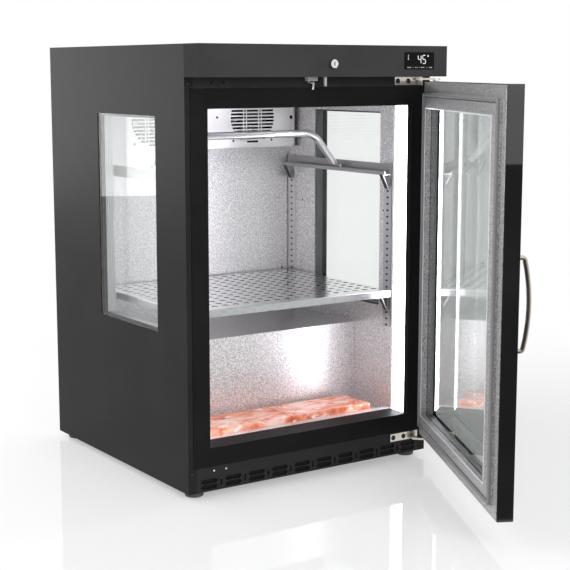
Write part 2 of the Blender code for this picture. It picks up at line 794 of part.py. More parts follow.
FAN_SIZE = 0.120
FAN_DEPTH = 0.025
FAN_BORE = 0.0565
FAN_STRUT = 0.004
FAN_HUB = 0.020
FAN_HUB_DEPTH = 0.016
FAN_CORNER = 0.008
TIP_GAP = 0.002


def fan_frame(name, x):
    """Square axial fan frame with its motor boss held by four struts at the back."""
    front = COVER_FRONT + COVER_SHEET + CLEARANCE
    back = front + FAN_DEPTH
    half = FAN_SIZE / 2
    inner = half - FAN_CORNER
    corners = ((inner, -inner, -90), (inner, inner, 0), (-inner, inner, 90), (-inner, -inner, 180))
    outline = []
    for u, v, start in corners:
        outline += arc_points((x + u, GRILLE_Z + v), FAN_CORNER, start, start + 90, 2)
    bore = circle_points((x, GRILLE_Z), FAN_BORE, ROUND_STEPS)
    frame = add_piece(name, plate(outline, front, back, FRONT, [bore]), "plastic")
    strut_front = back - FAN_STRUT
    reach = FAN_BORE + FAN_STRUT / 2
    inset = FAN_STRUT / 8
    low, high = strut_front + inset, back - inset
    spokes = box((x - reach, low, GRILLE_Z - FAN_STRUT / 2), (x + reach, high, GRILLE_Z + FAN_STRUT / 2))
    join(frame, spokes)
    low, high = low + inset, high - inset
    spokes = box((x - FAN_STRUT / 2, low, GRILLE_Z - reach), (x + FAN_STRUT / 2, high, GRILLE_Z + reach))
    join(frame, spokes)
    join(frame, cylinder((x, 0, GRILLE_Z), FAN_HUB, strut_front, back, ALONG_Y, ROUND_STEPS))


BLADES = 7
BLADE_SHEET = 0.0015
BLADE_SPAN_STEPS = 2
BLADE_CHORD_STEPS = 1
BLADE_SWEEP = math.radians(14)
CHORD_SHARE = 0.72
ROOT_PITCH_SHARE = 0.9
TIP_PITCH_SHARE = 0.5


def blade(turn, hub, tip, depth):
    """One twisted blade: a flat grid bent round the hub, steep at the root and flat at the tip."""
    bm = bmesh.new()
    bmesh.ops.create_grid(bm, x_segments=BLADE_SPAN_STEPS, y_segments=BLADE_CHORD_STEPS, size=0.5)
    chord = math.tau / BLADES * CHORD_SHARE
    root = hub - BLADE_SHEET
    for vert in bm.verts:
        span, across = vert.co.x + 0.5, vert.co.y
        radius = root + (tip - root) * span
        pitch = depth * (ROOT_PITCH_SHARE + (TIP_PITCH_SHARE - ROOT_PITCH_SHARE) * span)
        angle = turn + chord * across + BLADE_SWEEP * span * span
        vert.co = (radius * math.cos(angle), pitch * across, radius * math.sin(angle))
    return bm


def fan_rotor(name, centre, hub, tip, depth, finish):
    """Hub and twisted blades in one moulding, turning about the line along y."""
    rounding = depth / 8
    profile = [(0, depth / 2), (hub, depth / 2), (hub, rounding - depth / 2),
               (hub - rounding, -depth / 2), (0, -depth / 2)]
    rotor = turned(name, profile, centre, ALONG_Y, finish)
    blades = bmesh.new()
    for number in range(BLADES):
        one = blade(math.tau * number / BLADES, hub, tip, depth)
        mesh = bpy.data.meshes.new("blade")
        one.to_mesh(mesh)
        one.free()
        blades.from_mesh(mesh)
    blades.transform(Matrix.Translation(centre))
    join(rotor, blades, BLADE_SHEET)


COIL_LEFT = 0.060
COIL_FINS = 12
COIL_GAP = 0.004
COIL_SPINE_SHARE = 0.35
FIN_SHARE = 0.45


def comb(x_low, x_high, y_low, y_high, z_low, z_high, fins):
    """A fin block seen from above: fins along y that stand on a spine at the far side."""
    pitch = (x_high - x_low) / (fins - 1 + FIN_SHARE)
    spine = y_high - (y_high - y_low) * COIL_SPINE_SHARE
    outline = [(x_low, y_high)]
    for fin in range(fins):
        left = x_low + fin * pitch
        right = left + pitch * FIN_SHARE
        outline += [(left, y_low), (right, y_low)]
        if fin < fins - 1:
            outline += [(right, spine), (left + pitch, spine)]
    outline.append((x_high, y_high))
    return plate(outline, z_low, z_high, FLAT)


def evaporator_coil():
    """Finned coil in the recess behind the fans."""
    add_piece("evaporator_coil",
              comb(COIL_LEFT, WIDTH - COIL_LEFT, REAR + COIL_GAP, RECESS_BACK - CLEARANCE,
                   RECESS_FLOOR + CLEARANCE, CEILING - COIL_GAP, COIL_FINS), "aluminium")


# Pilasters, rails, clips and the bar

PILASTER_FRONT = 0.0827
PILASTER_REAR_GAP = 0.0164
PILASTER_WIDTH = 0.026
PILASTER_PROUD = 0.005
PILASTER_SHEET = 0.001
PILASTER_BOTTOM = 0.280
PILASTER_CEILING_GAP = 0.157
PILASTER_SLOT = (0.008, 0.004)
PILASTER_PITCH = 0.01409
PILASTER_END = 0.012
FIRST_SLOT = 0.2843
TAB_WIDTH = 0.006
TAB_HEIGHT = 0.0028
TAB_REACH = 0.0025

SHELF_SLOT = 4
RAIL_SHEET = 0.002
RAIL_WEB = 0.024
RAIL_INNER = 0.064
RAIL_LIP = 0.007
RAIL_FRONT = 0.070
RAIL_REAR_GAP = 0.004
CLIP_WIDTH = 0.012
CLIP_DROP = 0.028
CLIP_SHEET = 0.002
CLIP_REACH = 0.0165

PILASTER_Y = {"front": PILASTER_FRONT, "rear": REAR - PILASTER_REAR_GAP}
PILASTER_TOP = CEILING - PILASTER_CEILING_GAP
PILASTER_SLOTS = 1 + int((PILASTER_TOP - PILASTER_END - FIRST_SLOT) / PILASTER_PITCH)
RAIL_TOP_SLOT = PILASTER_SLOTS - 2
RAIL_BACK = REAR - RAIL_REAR_GAP


def slot_level(number):
    return FIRST_SLOT + number * PILASTER_PITCH


def pilaster(place_name, side):
    """Slotted upright: a shallow channel whose open side faces the liner."""
    y = PILASTER_Y[place_name]
    half = PILASTER_WIDTH / 2 - PILASTER_SHEET / 2
    face = WALL + PILASTER_PROUD - PILASTER_SHEET / 2
    slots = [block_points((y, slot_level(number)), *PILASTER_SLOT) for number in range(PILASTER_SLOTS)]
    bm = sheet(rectangle_points(y - half, y + half, PILASTER_BOTTOM, PILASTER_TOP), face, SIDE, slots)
    fold(bm, lambda co: not within(co.y, y - half, y + half), (WALL + CLEARANCE - face, 0, 0))
    name = "_".join(("pilaster", place_name, side))
    thicken(add_piece(name, handed(bm, side), "steel"), PILASTER_SHEET)


def clip_sheet(y, number):
    """A clip's bent strip: flange on top, brace below it and a back leg on the pilaster.

    The slot's number in the pilaster sets its height.
    """
    back = WALL + PILASTER_PROUD + CLEARANCE + CLIP_SHEET / 2
    top = slot_level(number) + TAB_HEIGHT * 2 + CLIP_SHEET
    near = back + CLIP_SHEET
    points = [(back, top), (back + CLIP_REACH, top), (near, top - CLIP_DROP),
              (back, top - CLIP_DROP - CLIP_SHEET)]
    return strip([(x, y - CLIP_WIDTH / 2, z) for x, z in points], (0, CLIP_WIDTH, 0))


def clip_leg(y, number):
    """The clip's back leg and the tab that hooks into the pilaster's slot."""
    back = WALL + PILASTER_PROUD + CLEARANCE
    top = slot_level(number) + TAB_HEIGHT * 2 + CLIP_SHEET
    bm = box((back, y - CLIP_WIDTH / 2 + SINK, top - CLIP_DROP - CLIP_SHEET - SINK),
             (back + CLIP_SHEET - SINK, y + CLIP_WIDTH / 2 - SINK, top))
    tab = box((back - TAB_REACH, y - TAB_WIDTH / 2, slot_level(number) - TAB_HEIGHT / 2),
              (back + CLIP_SHEET / 2, y + TAB_WIDTH / 2, slot_level(number) + TAB_HEIGHT / 2))
    return bm, tab


def clip_top(number):
    return slot_level(number) + TAB_HEIGHT * 2 + CLIP_SHEET + CLIP_SHEET / 2


def shelf_clip(place_name, side):
    """Clip that hooks into a pilaster and carries a corner of the shelf."""
    y = PILASTER_Y[place_name]
    name = "_".join(("shelf_clip", place_name, side))
    clip = add_piece(name, handed(clip_sheet(y, SHELF_SLOT), side), "steel")
    thicken(clip, CLIP_SHEET)
    for extra in clip_leg(y, SHELF_SLOT):
        join(clip, handed(extra, side))


RAIL_BOTTOM = clip_top(RAIL_TOP_SLOT) - CLIP_SHEET / 2


def hanging_rail(side):
    """Rail that the bar's feet slide in, with two brackets hooked into the pilasters."""
    web = WALL + PILASTER_PROUD + CLEARANCE + RAIL_SHEET / 2
    inner = RAIL_INNER - RAIL_SHEET / 2
    level = RAIL_BOTTOM + RAIL_SHEET / 2
    points = [(web, RAIL_BOTTOM + RAIL_WEB), (web, level), (inner, level), (inner, level + RAIL_LIP)]
    bm = strip([(x, RAIL_FRONT, z) for x, z in points], (0, RAIL_BACK - RAIL_FRONT, 0))
    rail = add_piece("hanging_rail_" + side, handed(bm, side), "steel")
    thicken(rail, RAIL_SHEET)
    for y in PILASTER_Y.values():
        join(rail, handed(clip_sheet(y, RAIL_TOP_SLOT), side), CLIP_SHEET)
        for extra in clip_leg(y, RAIL_TOP_SLOT):
            join(rail, handed(extra, side))


BAR_RADIUS = 0.008
BAR_RISE = 0.08573
BAR_Y = 0.250
BAR_CORNER = 0.126
BAR_BEND = 0.050
FOOT_BEND = 0.0565
FOOT_END = 0.0485
FOOT_SHEET = 0.003
FOOT_WIDTH = 0.018
LEG_END_SHARE = 0.82
TONGUE_SHARE = 0.74

BAR_Z = RAIL_BOTTOM + BAR_RISE


def hanging_bar():
    """Bar across the chamber, bent down at both ends to flat feet in the rails."""
    foot_level = RAIL_BOTTOM + RAIL_SHEET + CLEARANCE + FOOT_SHEET / 2
    corner = Vector((BAR_CORNER, BAR_Y, BAR_Z))
    bend = Vector((FOOT_BEND, BAR_Y, foot_level))
    end = corner.lerp(bend, LEG_END_SHARE)
    path = [end, corner, (WIDTH - BAR_CORNER, BAR_Y, BAR_Z), (WIDTH - end.x, BAR_Y, end.z)]
    bar = add_piece("hanging_bar", tube(rounded_path(path, BAR_BEND, ARC_STEPS), BAR_RADIUS, 2), "steel",
                    pivot=(WIDTH / 2, BAR_Y, BAR_Z), smooth=True)
    tongue = corner.lerp(bend, TONGUE_SHARE)
    points = [(tongue.x, tongue.z), (FOOT_BEND, foot_level), (FOOT_END, foot_level)]
    for side in ("left", "right"):
        bm = strip([(x, BAR_Y - FOOT_WIDTH / 2, z) for x, z in points], (0, FOOT_WIDTH, 0))
        join(bar, handed(bm, side), FOOT_SHEET)


SHELF_SIDE = 0.048
SHELF_FRONT = 0.063
SHELF_REAR_GAP = 0.014
SHELF_SHEET = 0.0012
SHELF_LIP = 0.015
SHELF_PITCH = (0.041, 0.042)
SHELF_HOLE = (0.016, 0.007)

SHELF_BACK = REAR - SHELF_REAR_GAP
SHELF_TOP = clip_top(SHELF_SLOT) + CLEARANCE + SHELF_LIP


def hole_lines(low, high, pitch, width):
    """Where each hole starts and ends, for as many holes as fit between two edges."""
    count = int((high - low) / pitch)
    first = (low + high) / 2 - (count - 1) / 2 * pitch
    return [first + number * pitch + side * width / 2 for number in range(count) for side in (-1, 1)]


def perforated_sheet(low, high, level):
    """Sheet with a grid of holes: rectangles between them, and a fan of triangles along each edge."""
    across = hole_lines(low[0], high[0], SHELF_PITCH[0], SHELF_HOLE[0])
    along = hole_lines(low[1], high[1], SHELF_PITCH[1], SHELF_HOLE[1])
    bm = bmesh.new()
    grid = [[bm.verts.new((x, y, level)) for x in across] for y in along]
    for row in range(len(along) - 1):
        for column in range(len(across) - 1):
            if row % 2 or column % 2:
                bm.faces.new((grid[row][column], grid[row][column + 1],
                              grid[row + 1][column + 1], grid[row + 1][column]))
    corners = [bm.verts.new((x, y, level)) for x, y in rectangle_points(low[0], high[0], low[1], high[1])]
    sides = [grid[0], [row[-1] for row in grid], grid[-1][::-1], [row[0] for row in grid][::-1]]
    for number, side in enumerate(sides):
        first, second = corners[number], corners[(number + 1) % len(corners)]
        half = len(side) // 2
        for place_on_side in range(len(side) - 1):
            tip = first if place_on_side < half else second
            bm.faces.new((tip, side[place_on_side + 1], side[place_on_side]))
        bm.faces.new((first, second, side[half]))
    return bm


def perforated_shelf():
    """Shelf with rows of short slots and a lip folded down all round."""
    half = SHELF_SHEET / 2
    low = (SHELF_SIDE + half, SHELF_FRONT + half)
    high = (WIDTH - SHELF_SIDE - half, SHELF_BACK - half)
    bm = perforated_sheet(low, high, SHELF_TOP - half)
    fold(bm, lambda co: not (within(co.x, low[0], high[0]) and within(co.y, low[1], high[1])),
         (0, 0, half - SHELF_LIP))
    thicken(add_piece("perforated_shelf", bm, "steel"), SHELF_SHEET)


SALT_SIDE = 0.0885
SALT_DEPTH = 0.100
SALT_HEIGHT = 0.025
SALT_FRONT = 0.080
SALT_GAP = 0.0004
SALT_BEVEL = 0.003


def salt_block(side):
    """Block of rock salt on the chamber's floor."""
    right = WIDTH / 2 - SALT_GAP / 2
    low = (SALT_SIDE, SALT_FRONT, FLOOR + CLEARANCE)
    high = (right, SALT_FRONT + SALT_DEPTH, FLOOR + CLEARANCE + SALT_HEIGHT)
    block = add_piece("salt_block_" + side, handed(box(low, high), side), "salt")
    soften(block, SALT_BEVEL, 1)


# Control box, lock and switch

LOCK_OFFSET = 0.004
LOCK_RISE = 0.0255
LOCK_FACE = 0.0085
LOCK_BARREL = 0.007
LOCK_PROUD = 0.0012
LOCK_BOSS = 0.011
LOCK_LENGTH = 0.0175
CAM_RADIUS = 0.013
CAM_SHEET = 0.0025
CAM_THROW = 0.0106
CAM_PIN = 0.0018
KEY_SLOT = (0.0014, 0.007)
BOLT_WIDTH = 0.0053
BOLT_SHEET = 0.005
BOLT_HEAD = 0.005
BOLT_BELOW = 0.0183
PIN_PLAY = 0.0005
POCKET_MARGIN = 0.0025

CONTROLLER_RIGHT_GAP = 0.0359
CONTROLLER_WIDTH = 0.0775
CONTROLLER_RISE = 0.0147
CONTROLLER_HEIGHT = 0.0347
CONTROLLER_BEZEL = 0.0032
CONTROLLER_PROUD = 0.0012
CONTROLLER_BODY = 0.045

LOCK_X = WIDTH / 2 + LOCK_OFFSET
LOCK_Z = FASCIA_BOTTOM + LOCK_RISE
CONTROLLER_LEFT = WIDTH - CONTROLLER_RIGHT_GAP - CONTROLLER_WIDTH
FASCIA_FRONT = -FASCIA_DEPTH
BOSS_BACK = FASCIA_FRONT + LOCK_LENGTH
CAM_FRONT = BOSS_BACK + CLEARANCE
BOLT_FRONT = CAM_FRONT + CAM_SHEET + CLEARANCE
BOLT_BACK = BOLT_FRONT + BOLT_SHEET
PIN_ARM = CAM_THROW / math.sqrt(2)


def controller_box(grow, front, back):
    """The controller's body, or with a gap round it the hole that it passes through."""
    inset = CONTROLLER_BEZEL - grow
    low = (CONTROLLER_LEFT + inset, front, FASCIA_BOTTOM + CONTROLLER_RISE + inset)
    high = (CONTROLLER_LEFT + CONTROLLER_WIDTH - inset, back,
            FASCIA_BOTTOM + CONTROLLER_RISE + CONTROLLER_HEIGHT - inset)
    return box(low, high)


def fascia():
    """Control box: a shell open to the back, with the lock's boss inside."""
    half = FASCIA_SHEET / 2
    low = (half, FASCIA_FRONT + half, FASCIA_BOTTOM + half)
    high = (WIDTH - half, -CLEARANCE, HEIGHT - half)
    bm = box(low, high)
    opened = [f for f in bm.faces if f.normal.y > 1 - WELD]
    bmesh.ops.delete(bm, geom=opened, context="FACES_ONLY")
    shell = add_piece("fascia", bm, "fascia")
    thicken(shell, FASCIA_SHEET)
    centre = (LOCK_X, 0, LOCK_Z)
    join(shell, cylinder(centre, LOCK_BOSS, FASCIA_FRONT + half, BOSS_BACK, ALONG_Y, ROUND_STEPS))
    cut(shell, cylinder(centre, clear_radius(LOCK_BARREL, ROUND_STEPS), FASCIA_FRONT - OVERRUN,
                        BOSS_BACK + OVERRUN, ALONG_Y, ROUND_STEPS))
    cut(shell, controller_box(CLEARANCE, FASCIA_FRONT - OVERRUN, FASCIA_FRONT + OVERRUN))
    gap = BOLT_WIDTH / 2 + PIN_PLAY
    cut(shell, box((LOCK_X - gap, BOLT_FRONT - PIN_PLAY, FASCIA_BOTTOM - OVERRUN),
                   (LOCK_X + gap, BOLT_BACK + PIN_PLAY, FASCIA_BOTTOM + OVERRUN)))


def controller():
    """Panel controller: a thin bezel on the fascia and a body through its cut-out."""
    front = FASCIA_FRONT - CLEARANCE - CONTROLLER_PROUD
    low = (CONTROLLER_LEFT, front, FASCIA_BOTTOM + CONTROLLER_RISE)
    high = (CONTROLLER_LEFT + CONTROLLER_WIDTH, FASCIA_FRONT - CLEARANCE,
            FASCIA_BOTTOM + CONTROLLER_RISE + CONTROLLER_HEIGHT)
    unit = add_piece("controller", box(low, high), "plastic")
    join(unit, controller_box(0, front + CONTROLLER_PROUD / 2, front + CONTROLLER_BODY))


def lock_cylinder():
    """Key barrel with a cam behind it, whose pin lifts the bolt."""
    front = FASCIA_FRONT - CLEARANCE - LOCK_PROUD
    profile = [(0, CAM_FRONT + CAM_SHEET), (CAM_RADIUS, CAM_FRONT + CAM_SHEET), (CAM_RADIUS, CAM_FRONT),
               (LOCK_BARREL, CAM_FRONT), (LOCK_BARREL, FASCIA_FRONT - CLEARANCE),
               (LOCK_FACE, FASCIA_FRONT - CLEARANCE), (LOCK_FACE, front), (0, front)]
    barrel = turned("lock_cylinder", profile, (LOCK_X, 0, LOCK_Z), ALONG_Y, "chrome")
    pin = (LOCK_X + PIN_ARM, 0, LOCK_Z - PIN_ARM)
    join(barrel, cylinder(pin, CAM_PIN, CAM_FRONT + CAM_SHEET / 2, BOLT_BACK, ALONG_Y, SMALL_STEPS))
    cut(barrel, box((LOCK_X - KEY_SLOT[0] / 2, front - OVERRUN, LOCK_Z - KEY_SLOT[1] / 2),
                    (LOCK_X + KEY_SLOT[0] / 2, front + OVERRUN, LOCK_Z + KEY_SLOT[1] / 2)))


def lock_bolt():
    """Sliding bolt: a bar down to the door and a head with a slot round the cam's pin."""
    half = BOLT_WIDTH / 2
    level = LOCK_Z - PIN_ARM
    reach = CAM_PIN + PIN_PLAY
    right = LOCK_X + CAM_THROW + reach + BOLT_HEAD / 2
    outline = [(LOCK_X - half, FASCIA_BOTTOM - BOLT_BELOW), (LOCK_X + half, FASCIA_BOTTOM - BOLT_BELOW),
               (LOCK_X + half, level - BOLT_HEAD), (right, level - BOLT_HEAD),
               (right, level + BOLT_HEAD), (LOCK_X - half, level + BOLT_HEAD)]
    slot = rectangle_points(LOCK_X + PIN_ARM - reach, LOCK_X + CAM_THROW + reach,
                            level - reach, level + reach)
    add_piece("lock_bolt", plate(outline, BOLT_FRONT, BOLT_BACK, FRONT, [slot]), "steel",
              pivot=(LOCK_X, (BOLT_FRONT + BOLT_BACK) / 2, level))


SWITCH_OFFSET = 0.016
SWITCH_WIDTH = 0.024
SWITCH_FRONT = 0.0115
SWITCH_BACK = 0.0019
SWITCH_HEIGHT = 0.008
LEVER_HALF = 0.004
EAR = 0.0018
LEVER_PIVOT_FORWARD = 0.0042
LEVER_PIVOT_DROP = 0.0103
LEVER_TIP_FORWARD = 0.0100
LEVER_TIP_DROP = 0.0118
LEVER_BOSS = 0.0011
LEVER_ROLLER = 0.0015
LEVER_PIN = 0.0006

SWITCH_X = LOCK_X - SWITCH_OFFSET


def door_switch():
    """Switch body under the control box, with two ears that hold the lever's pin."""
    half = SWITCH_WIDTH / 2
    top = FASCIA_BOTTOM - CLEARANCE
    low = (SWITCH_X - half, -SWITCH_FRONT, top - SWITCH_HEIGHT)
    body = add_piece("door_switch", box(low, (SWITCH_X + half, -SWITCH_BACK, top)), "plastic")
    ears = bmesh.new()
    pivot = (-LEVER_PIVOT_FORWARD, FASCIA_BOTTOM - LEVER_PIVOT_DROP)
    for inner in (-LEVER_HALF - CLEARANCE - EAR, LEVER_HALF + CLEARANCE):
        add_box(ears, (SWITCH_X + inner, pivot[0] - EAR, pivot[1] - EAR),
                (SWITCH_X + inner + EAR, pivot[0] + EAR, top - SWITCH_HEIGHT + EAR))
    join(body, ears)
    bore = clear_radius(LEVER_PIN, SMALL_STEPS)
    cut(body, cylinder((SWITCH_X, *pivot), bore, -SWITCH_WIDTH, SWITCH_WIDTH, ALONG_X, SMALL_STEPS))


def door_switch_lever():
    """Sprung lever with a round nose, on a pin between the switch's ears."""
    pivot = (-LEVER_PIVOT_FORWARD, FASCIA_BOTTOM - LEVER_PIVOT_DROP)
    tip = (-LEVER_TIP_FORWARD, FASCIA_BOTTOM - LEVER_TIP_DROP)
    outline = link_points(pivot, LEVER_BOSS, tip, LEVER_ROLLER, 6)
    lever = add_piece("door_switch_lever",
                      plate(outline, SWITCH_X - LEVER_HALF, SWITCH_X + LEVER_HALF, SIDE), "steel",
                      pivot=(SWITCH_X, *pivot))
    reach = LEVER_HALF + CLEARANCE + EAR
    join(lever, cylinder((SWITCH_X, *pivot), LEVER_PIN, -reach, reach, ALONG_X, SMALL_STEPS))


# Hinges

HINGE_PLATE_LEFT = 0.0224
HINGE_PLATE_WIDTH = 0.0746
HINGE_PLATE_HEIGHT = 0.0169
HINGE_PLATE = 0.0027
TOP_PLATE_DROP = 0.0008
BOTTOM_PLATE_DROP = 0.0027
ARM_SHEET = 0.004
ARM_RADIUS = 0.009
ARM_INSET = 0.026
TOP_ARM_DROP = 0.003
BOTTOM_ARM_DROP = 0.0062
BUSH_RADIUS = 0.007
PIN_LENGTH = 0.017
BORE_EXTRA = 0.002


def hinge(name, plate_low, arm_low, bush_end, pin_end):
    """Bracket on the casing: plate, arm to the axis, bush and the pin that the door turns on."""
    right = WIDTH - HINGE_PLATE_LEFT
    front = -CLEARANCE - HINGE_PLATE
    low = (right - HINGE_PLATE_WIDTH, front, plate_low)
    bracket = add_piece(name, box(low, (right, -CLEARANCE, plate_low + HINGE_PLATE_HEIGHT)), "nickel",
                        smooth=True)
    root = (right - ARM_INSET / 2, -CLEARANCE - ARM_RADIUS - SINK)
    arm = link_points(root, ARM_RADIUS, (HINGE_X, HINGE_Y), ARM_RADIUS, 6)
    join(bracket, plate(arm, arm_low, arm_low + ARM_SHEET, FLAT))
    axis = (HINGE_X, HINGE_Y, 0)
    middle = arm_low + ARM_SHEET / 2
    join(bracket, cylinder(axis, BUSH_RADIUS, *sorted((middle, bush_end)), FLAT, ROUND_STEPS))
    join(bracket, cylinder(axis, PIN_RADIUS, *sorted((middle, pin_end)), FLAT, ROUND_STEPS))


def hinges():
    top_plate = FASCIA_BOTTOM - TOP_PLATE_DROP - HINGE_PLATE_HEIGHT
    hinge("hinge_top", top_plate, FASCIA_BOTTOM - TOP_ARM_DROP - ARM_SHEET,
          DOOR_TOP + CLEARANCE, DOOR_TOP - PIN_LENGTH)
    bottom_plate = FRAME_BOTTOM - BOTTOM_PLATE_DROP - HINGE_PLATE_HEIGHT
    hinge("hinge_bottom", bottom_plate, DOOR_BOTTOM - BOTTOM_ARM_DROP - ARM_SHEET,
          DOOR_BOTTOM - CLEARANCE, DOOR_BOTTOM + PIN_LENGTH)


# Machine compartment

COMPRESSOR_OFFSET = 0.150
COMPRESSOR_BACK = 0.00205
COMPRESSOR_RADIUS = 0.070
COMPRESSOR_HEIGHT = 0.150
SEAM_RADIUS = 0.074
SEAM_HEIGHT = 0.004
GROMMET_HEIGHT = 0.010
GROMMET_RADIUS = 0.010
MOUNT_PLATE = 0.003
MOUNT_SIZE = (0.180, 0.110)
DOME_SHARE = 0.55
SHOULDER_SHARE = 0.85
TERMINAL_SIZE = (0.035, 0.030, 0.045)

COMPRESSOR_X = WIDTH / 2 + COMPRESSOR_OFFSET
COMPRESSOR_Y = (MACHINE_FRONT + REAR_PANEL) / 2 + COMPRESSOR_BACK


def compressor():
    """Welded compressor can on a mounting plate with four rubber feet and a terminal box."""
    bottom = BASE_TOP + CLEARANCE + GROMMET_HEIGHT + MOUNT_PLATE
    top = bottom + COMPRESSOR_HEIGHT
    seam = (bottom + top) / 2
    dome = COMPRESSOR_RADIUS * (1 - SHOULDER_SHARE) * 2
    profile = [(0, top), (COMPRESSOR_RADIUS * DOME_SHARE, top - dome / 6),
               (COMPRESSOR_RADIUS * SHOULDER_SHARE, top - dome / 2), (COMPRESSOR_RADIUS, top - dome),
               (COMPRESSOR_RADIUS, seam + SEAM_HEIGHT), (SEAM_RADIUS, seam + SEAM_HEIGHT),
               (SEAM_RADIUS, seam), (COMPRESSOR_RADIUS, seam), (COMPRESSOR_RADIUS, bottom + dome),
               (COMPRESSOR_RADIUS * SHOULDER_SHARE, bottom), (0, bottom - MOUNT_PLATE / 2)]
    centre = Vector((COMPRESSOR_X, COMPRESSOR_Y, 0))
    can = turned("compressor", profile, centre, FLAT, "plastic")
    half = Vector((MOUNT_SIZE[0] / 2, MOUNT_SIZE[1] / 2, 0))
    level = Vector((0, 0, bottom))
    join(can, box(centre - half + level - Vector((0, 0, MOUNT_PLATE)), centre + half + level))
    grommets = bmesh.new()
    foot_top = bottom - MOUNT_PLATE / 2
    for x_sign in (-1, 1):
        for y_sign in (-1, 1):
            place_x = COMPRESSOR_X + x_sign * (half.x - GROMMET_RADIUS * 1.5)
            place_y = COMPRESSOR_Y + y_sign * (half.y - GROMMET_RADIUS * 1.5)
            middle = (BASE_TOP + CLEARANCE + foot_top) / 2
            bmesh.ops.create_cone(grommets, cap_ends=True, segments=SMALL_STEPS,
                                  radius1=GROMMET_RADIUS, radius2=GROMMET_RADIUS,
                                  depth=foot_top - BASE_TOP - CLEARANCE,
                                  matrix=Matrix.Translation((place_x, place_y, middle)))
    join(can, grommets)
    terminal = Vector((COMPRESSOR_X - COMPRESSOR_RADIUS, COMPRESSOR_Y, seam + SEAM_HEIGHT + SINK))
    size = Vector(TERMINAL_SIZE)
    join(can, box(terminal - Vector((size.x / 2, size.y / 2, 0)),
                  terminal + Vector((size.x / 2, size.y / 2, size.z))))


CONDENSER_OFFSET = 0.135
CONDENSER_WALL_GAP = 0.011
CONDENSER_FINS_DEPTH = 0.034
SHROUD_DEPTH = 0.030
CONDENSER_SIZE = 0.190
CONDENSER_FINS = 8
CONDENSER_FIN = 0.003
SHROUD_BORE = 0.083
CONDENSER_HUB = 0.020
CONDENSER_FAN_DEPTH = 0.018
MOTOR_LENGTH = 0.026
MOTOR_RADIUS = 0.024

CONDENSER_X = WIDTH / 2 - CONDENSER_OFFSET
CONDENSER_FRONT = MACHINE_FRONT + CONDENSER_WALL_GAP
CONDENSER_BOTTOM = BASE_TOP + CLEARANCE
CONDENSER_MIDDLE = CONDENSER_BOTTOM + CONDENSER_SIZE / 2
SHROUD_FRONT = CONDENSER_FRONT + CONDENSER_FINS_DEPTH
SHROUD_BACK = SHROUD_FRONT + SHROUD_DEPTH


def condenser():
    """Finned condenser with its fan shroud, and the fan motor on four struts behind it."""
    half = CONDENSER_SIZE / 2
    x = CONDENSER_X
    bore = circle_points((x, CONDENSER_MIDDLE), SHROUD_BORE, ROUND_STEPS)
    outline = block_points((x, CONDENSER_MIDDLE), CONDENSER_SIZE, CONDENSER_SIZE)
    shroud = add_piece("condenser", plate(outline, SHROUD_FRONT, SHROUD_BACK, FRONT, [bore]), "plastic")
    fins = bmesh.new()
    pitch = (CONDENSER_SIZE - CONDENSER_FIN - SINK) / (CONDENSER_FINS - 1)
    for fin in range(CONDENSER_FINS):
        left = x - half + SINK / 2 + fin * pitch
        add_box(fins, (left, CONDENSER_FRONT, CONDENSER_BOTTOM + SINK),
                (left + CONDENSER_FIN, SHROUD_FRONT + SINK, CONDENSER_BOTTOM + CONDENSER_SIZE - SINK))
    join(shroud, fins)
    inset = FAN_STRUT / 8
    reach = SHROUD_BORE + FAN_STRUT / 2
    thin = FAN_STRUT / 2
    low, high = SHROUD_BACK - FAN_STRUT, SHROUD_BACK - inset
    join(shroud, box((x - reach, low, CONDENSER_MIDDLE - thin), (x + reach, high, CONDENSER_MIDDLE + thin)))
    low, high = low + inset, high - inset
    join(shroud, box((x - thin, low, CONDENSER_MIDDLE - reach), (x + thin, high, CONDENSER_MIDDLE + reach)))
    motor_front = SHROUD_BACK - FAN_STRUT - inset
    join(shroud, cylinder((x, 0, CONDENSER_MIDDLE), MOTOR_RADIUS, motor_front,
                          motor_front + MOTOR_LENGTH, ALONG_Y, ROUND_STEPS))
    return motor_front


TRAY_FAN_GAP = 0.044
TRAY_BACK_GAP = 0.0349
TRAY_HEIGHT = 0.030
TRAY_SHEET = 0.002


def drip_tray():
    """Open tray on the base pan that catches the melt water."""
    half_width = CONDENSER_SIZE / 2
    low = Vector((CONDENSER_X - half_width, SHROUD_BACK + TRAY_FAN_GAP, BASE_TOP + CLEARANCE))
    high = Vector((CONDENSER_X + half_width, REAR_PANEL - TRAY_BACK_GAP, low.z + TRAY_HEIGHT))
    half = Vector((TRAY_SHEET / 2,) * 3)
    bm = box(low + half, high - Vector((half.x, half.y, 0)))
    opened = [f for f in bm.faces if f.normal.z > 1 - WELD]
    bmesh.ops.delete(bm, geom=opened, context="FACES_ONLY")
    thicken(add_piece("drip_tray", bm, "plastic"), TRAY_SHEET)


# Door

GASKET_INSET = 0.024
GASKET_WIDTH = 0.007
LINER_STEP = 0.004
LINER_RISE_END = 0.033
LINER_RAISED = 0.0075
LINER_EDGE = 0.0095
LINER_MARGIN = 0.0015
BULB_SHARES = (0.45, 0.30, 0.70)

DOOR_LOW = (DOOR_LEFT, DOOR_BOTTOM)
DOOR_HIGH = (DOOR_RIGHT, DOOR_TOP)


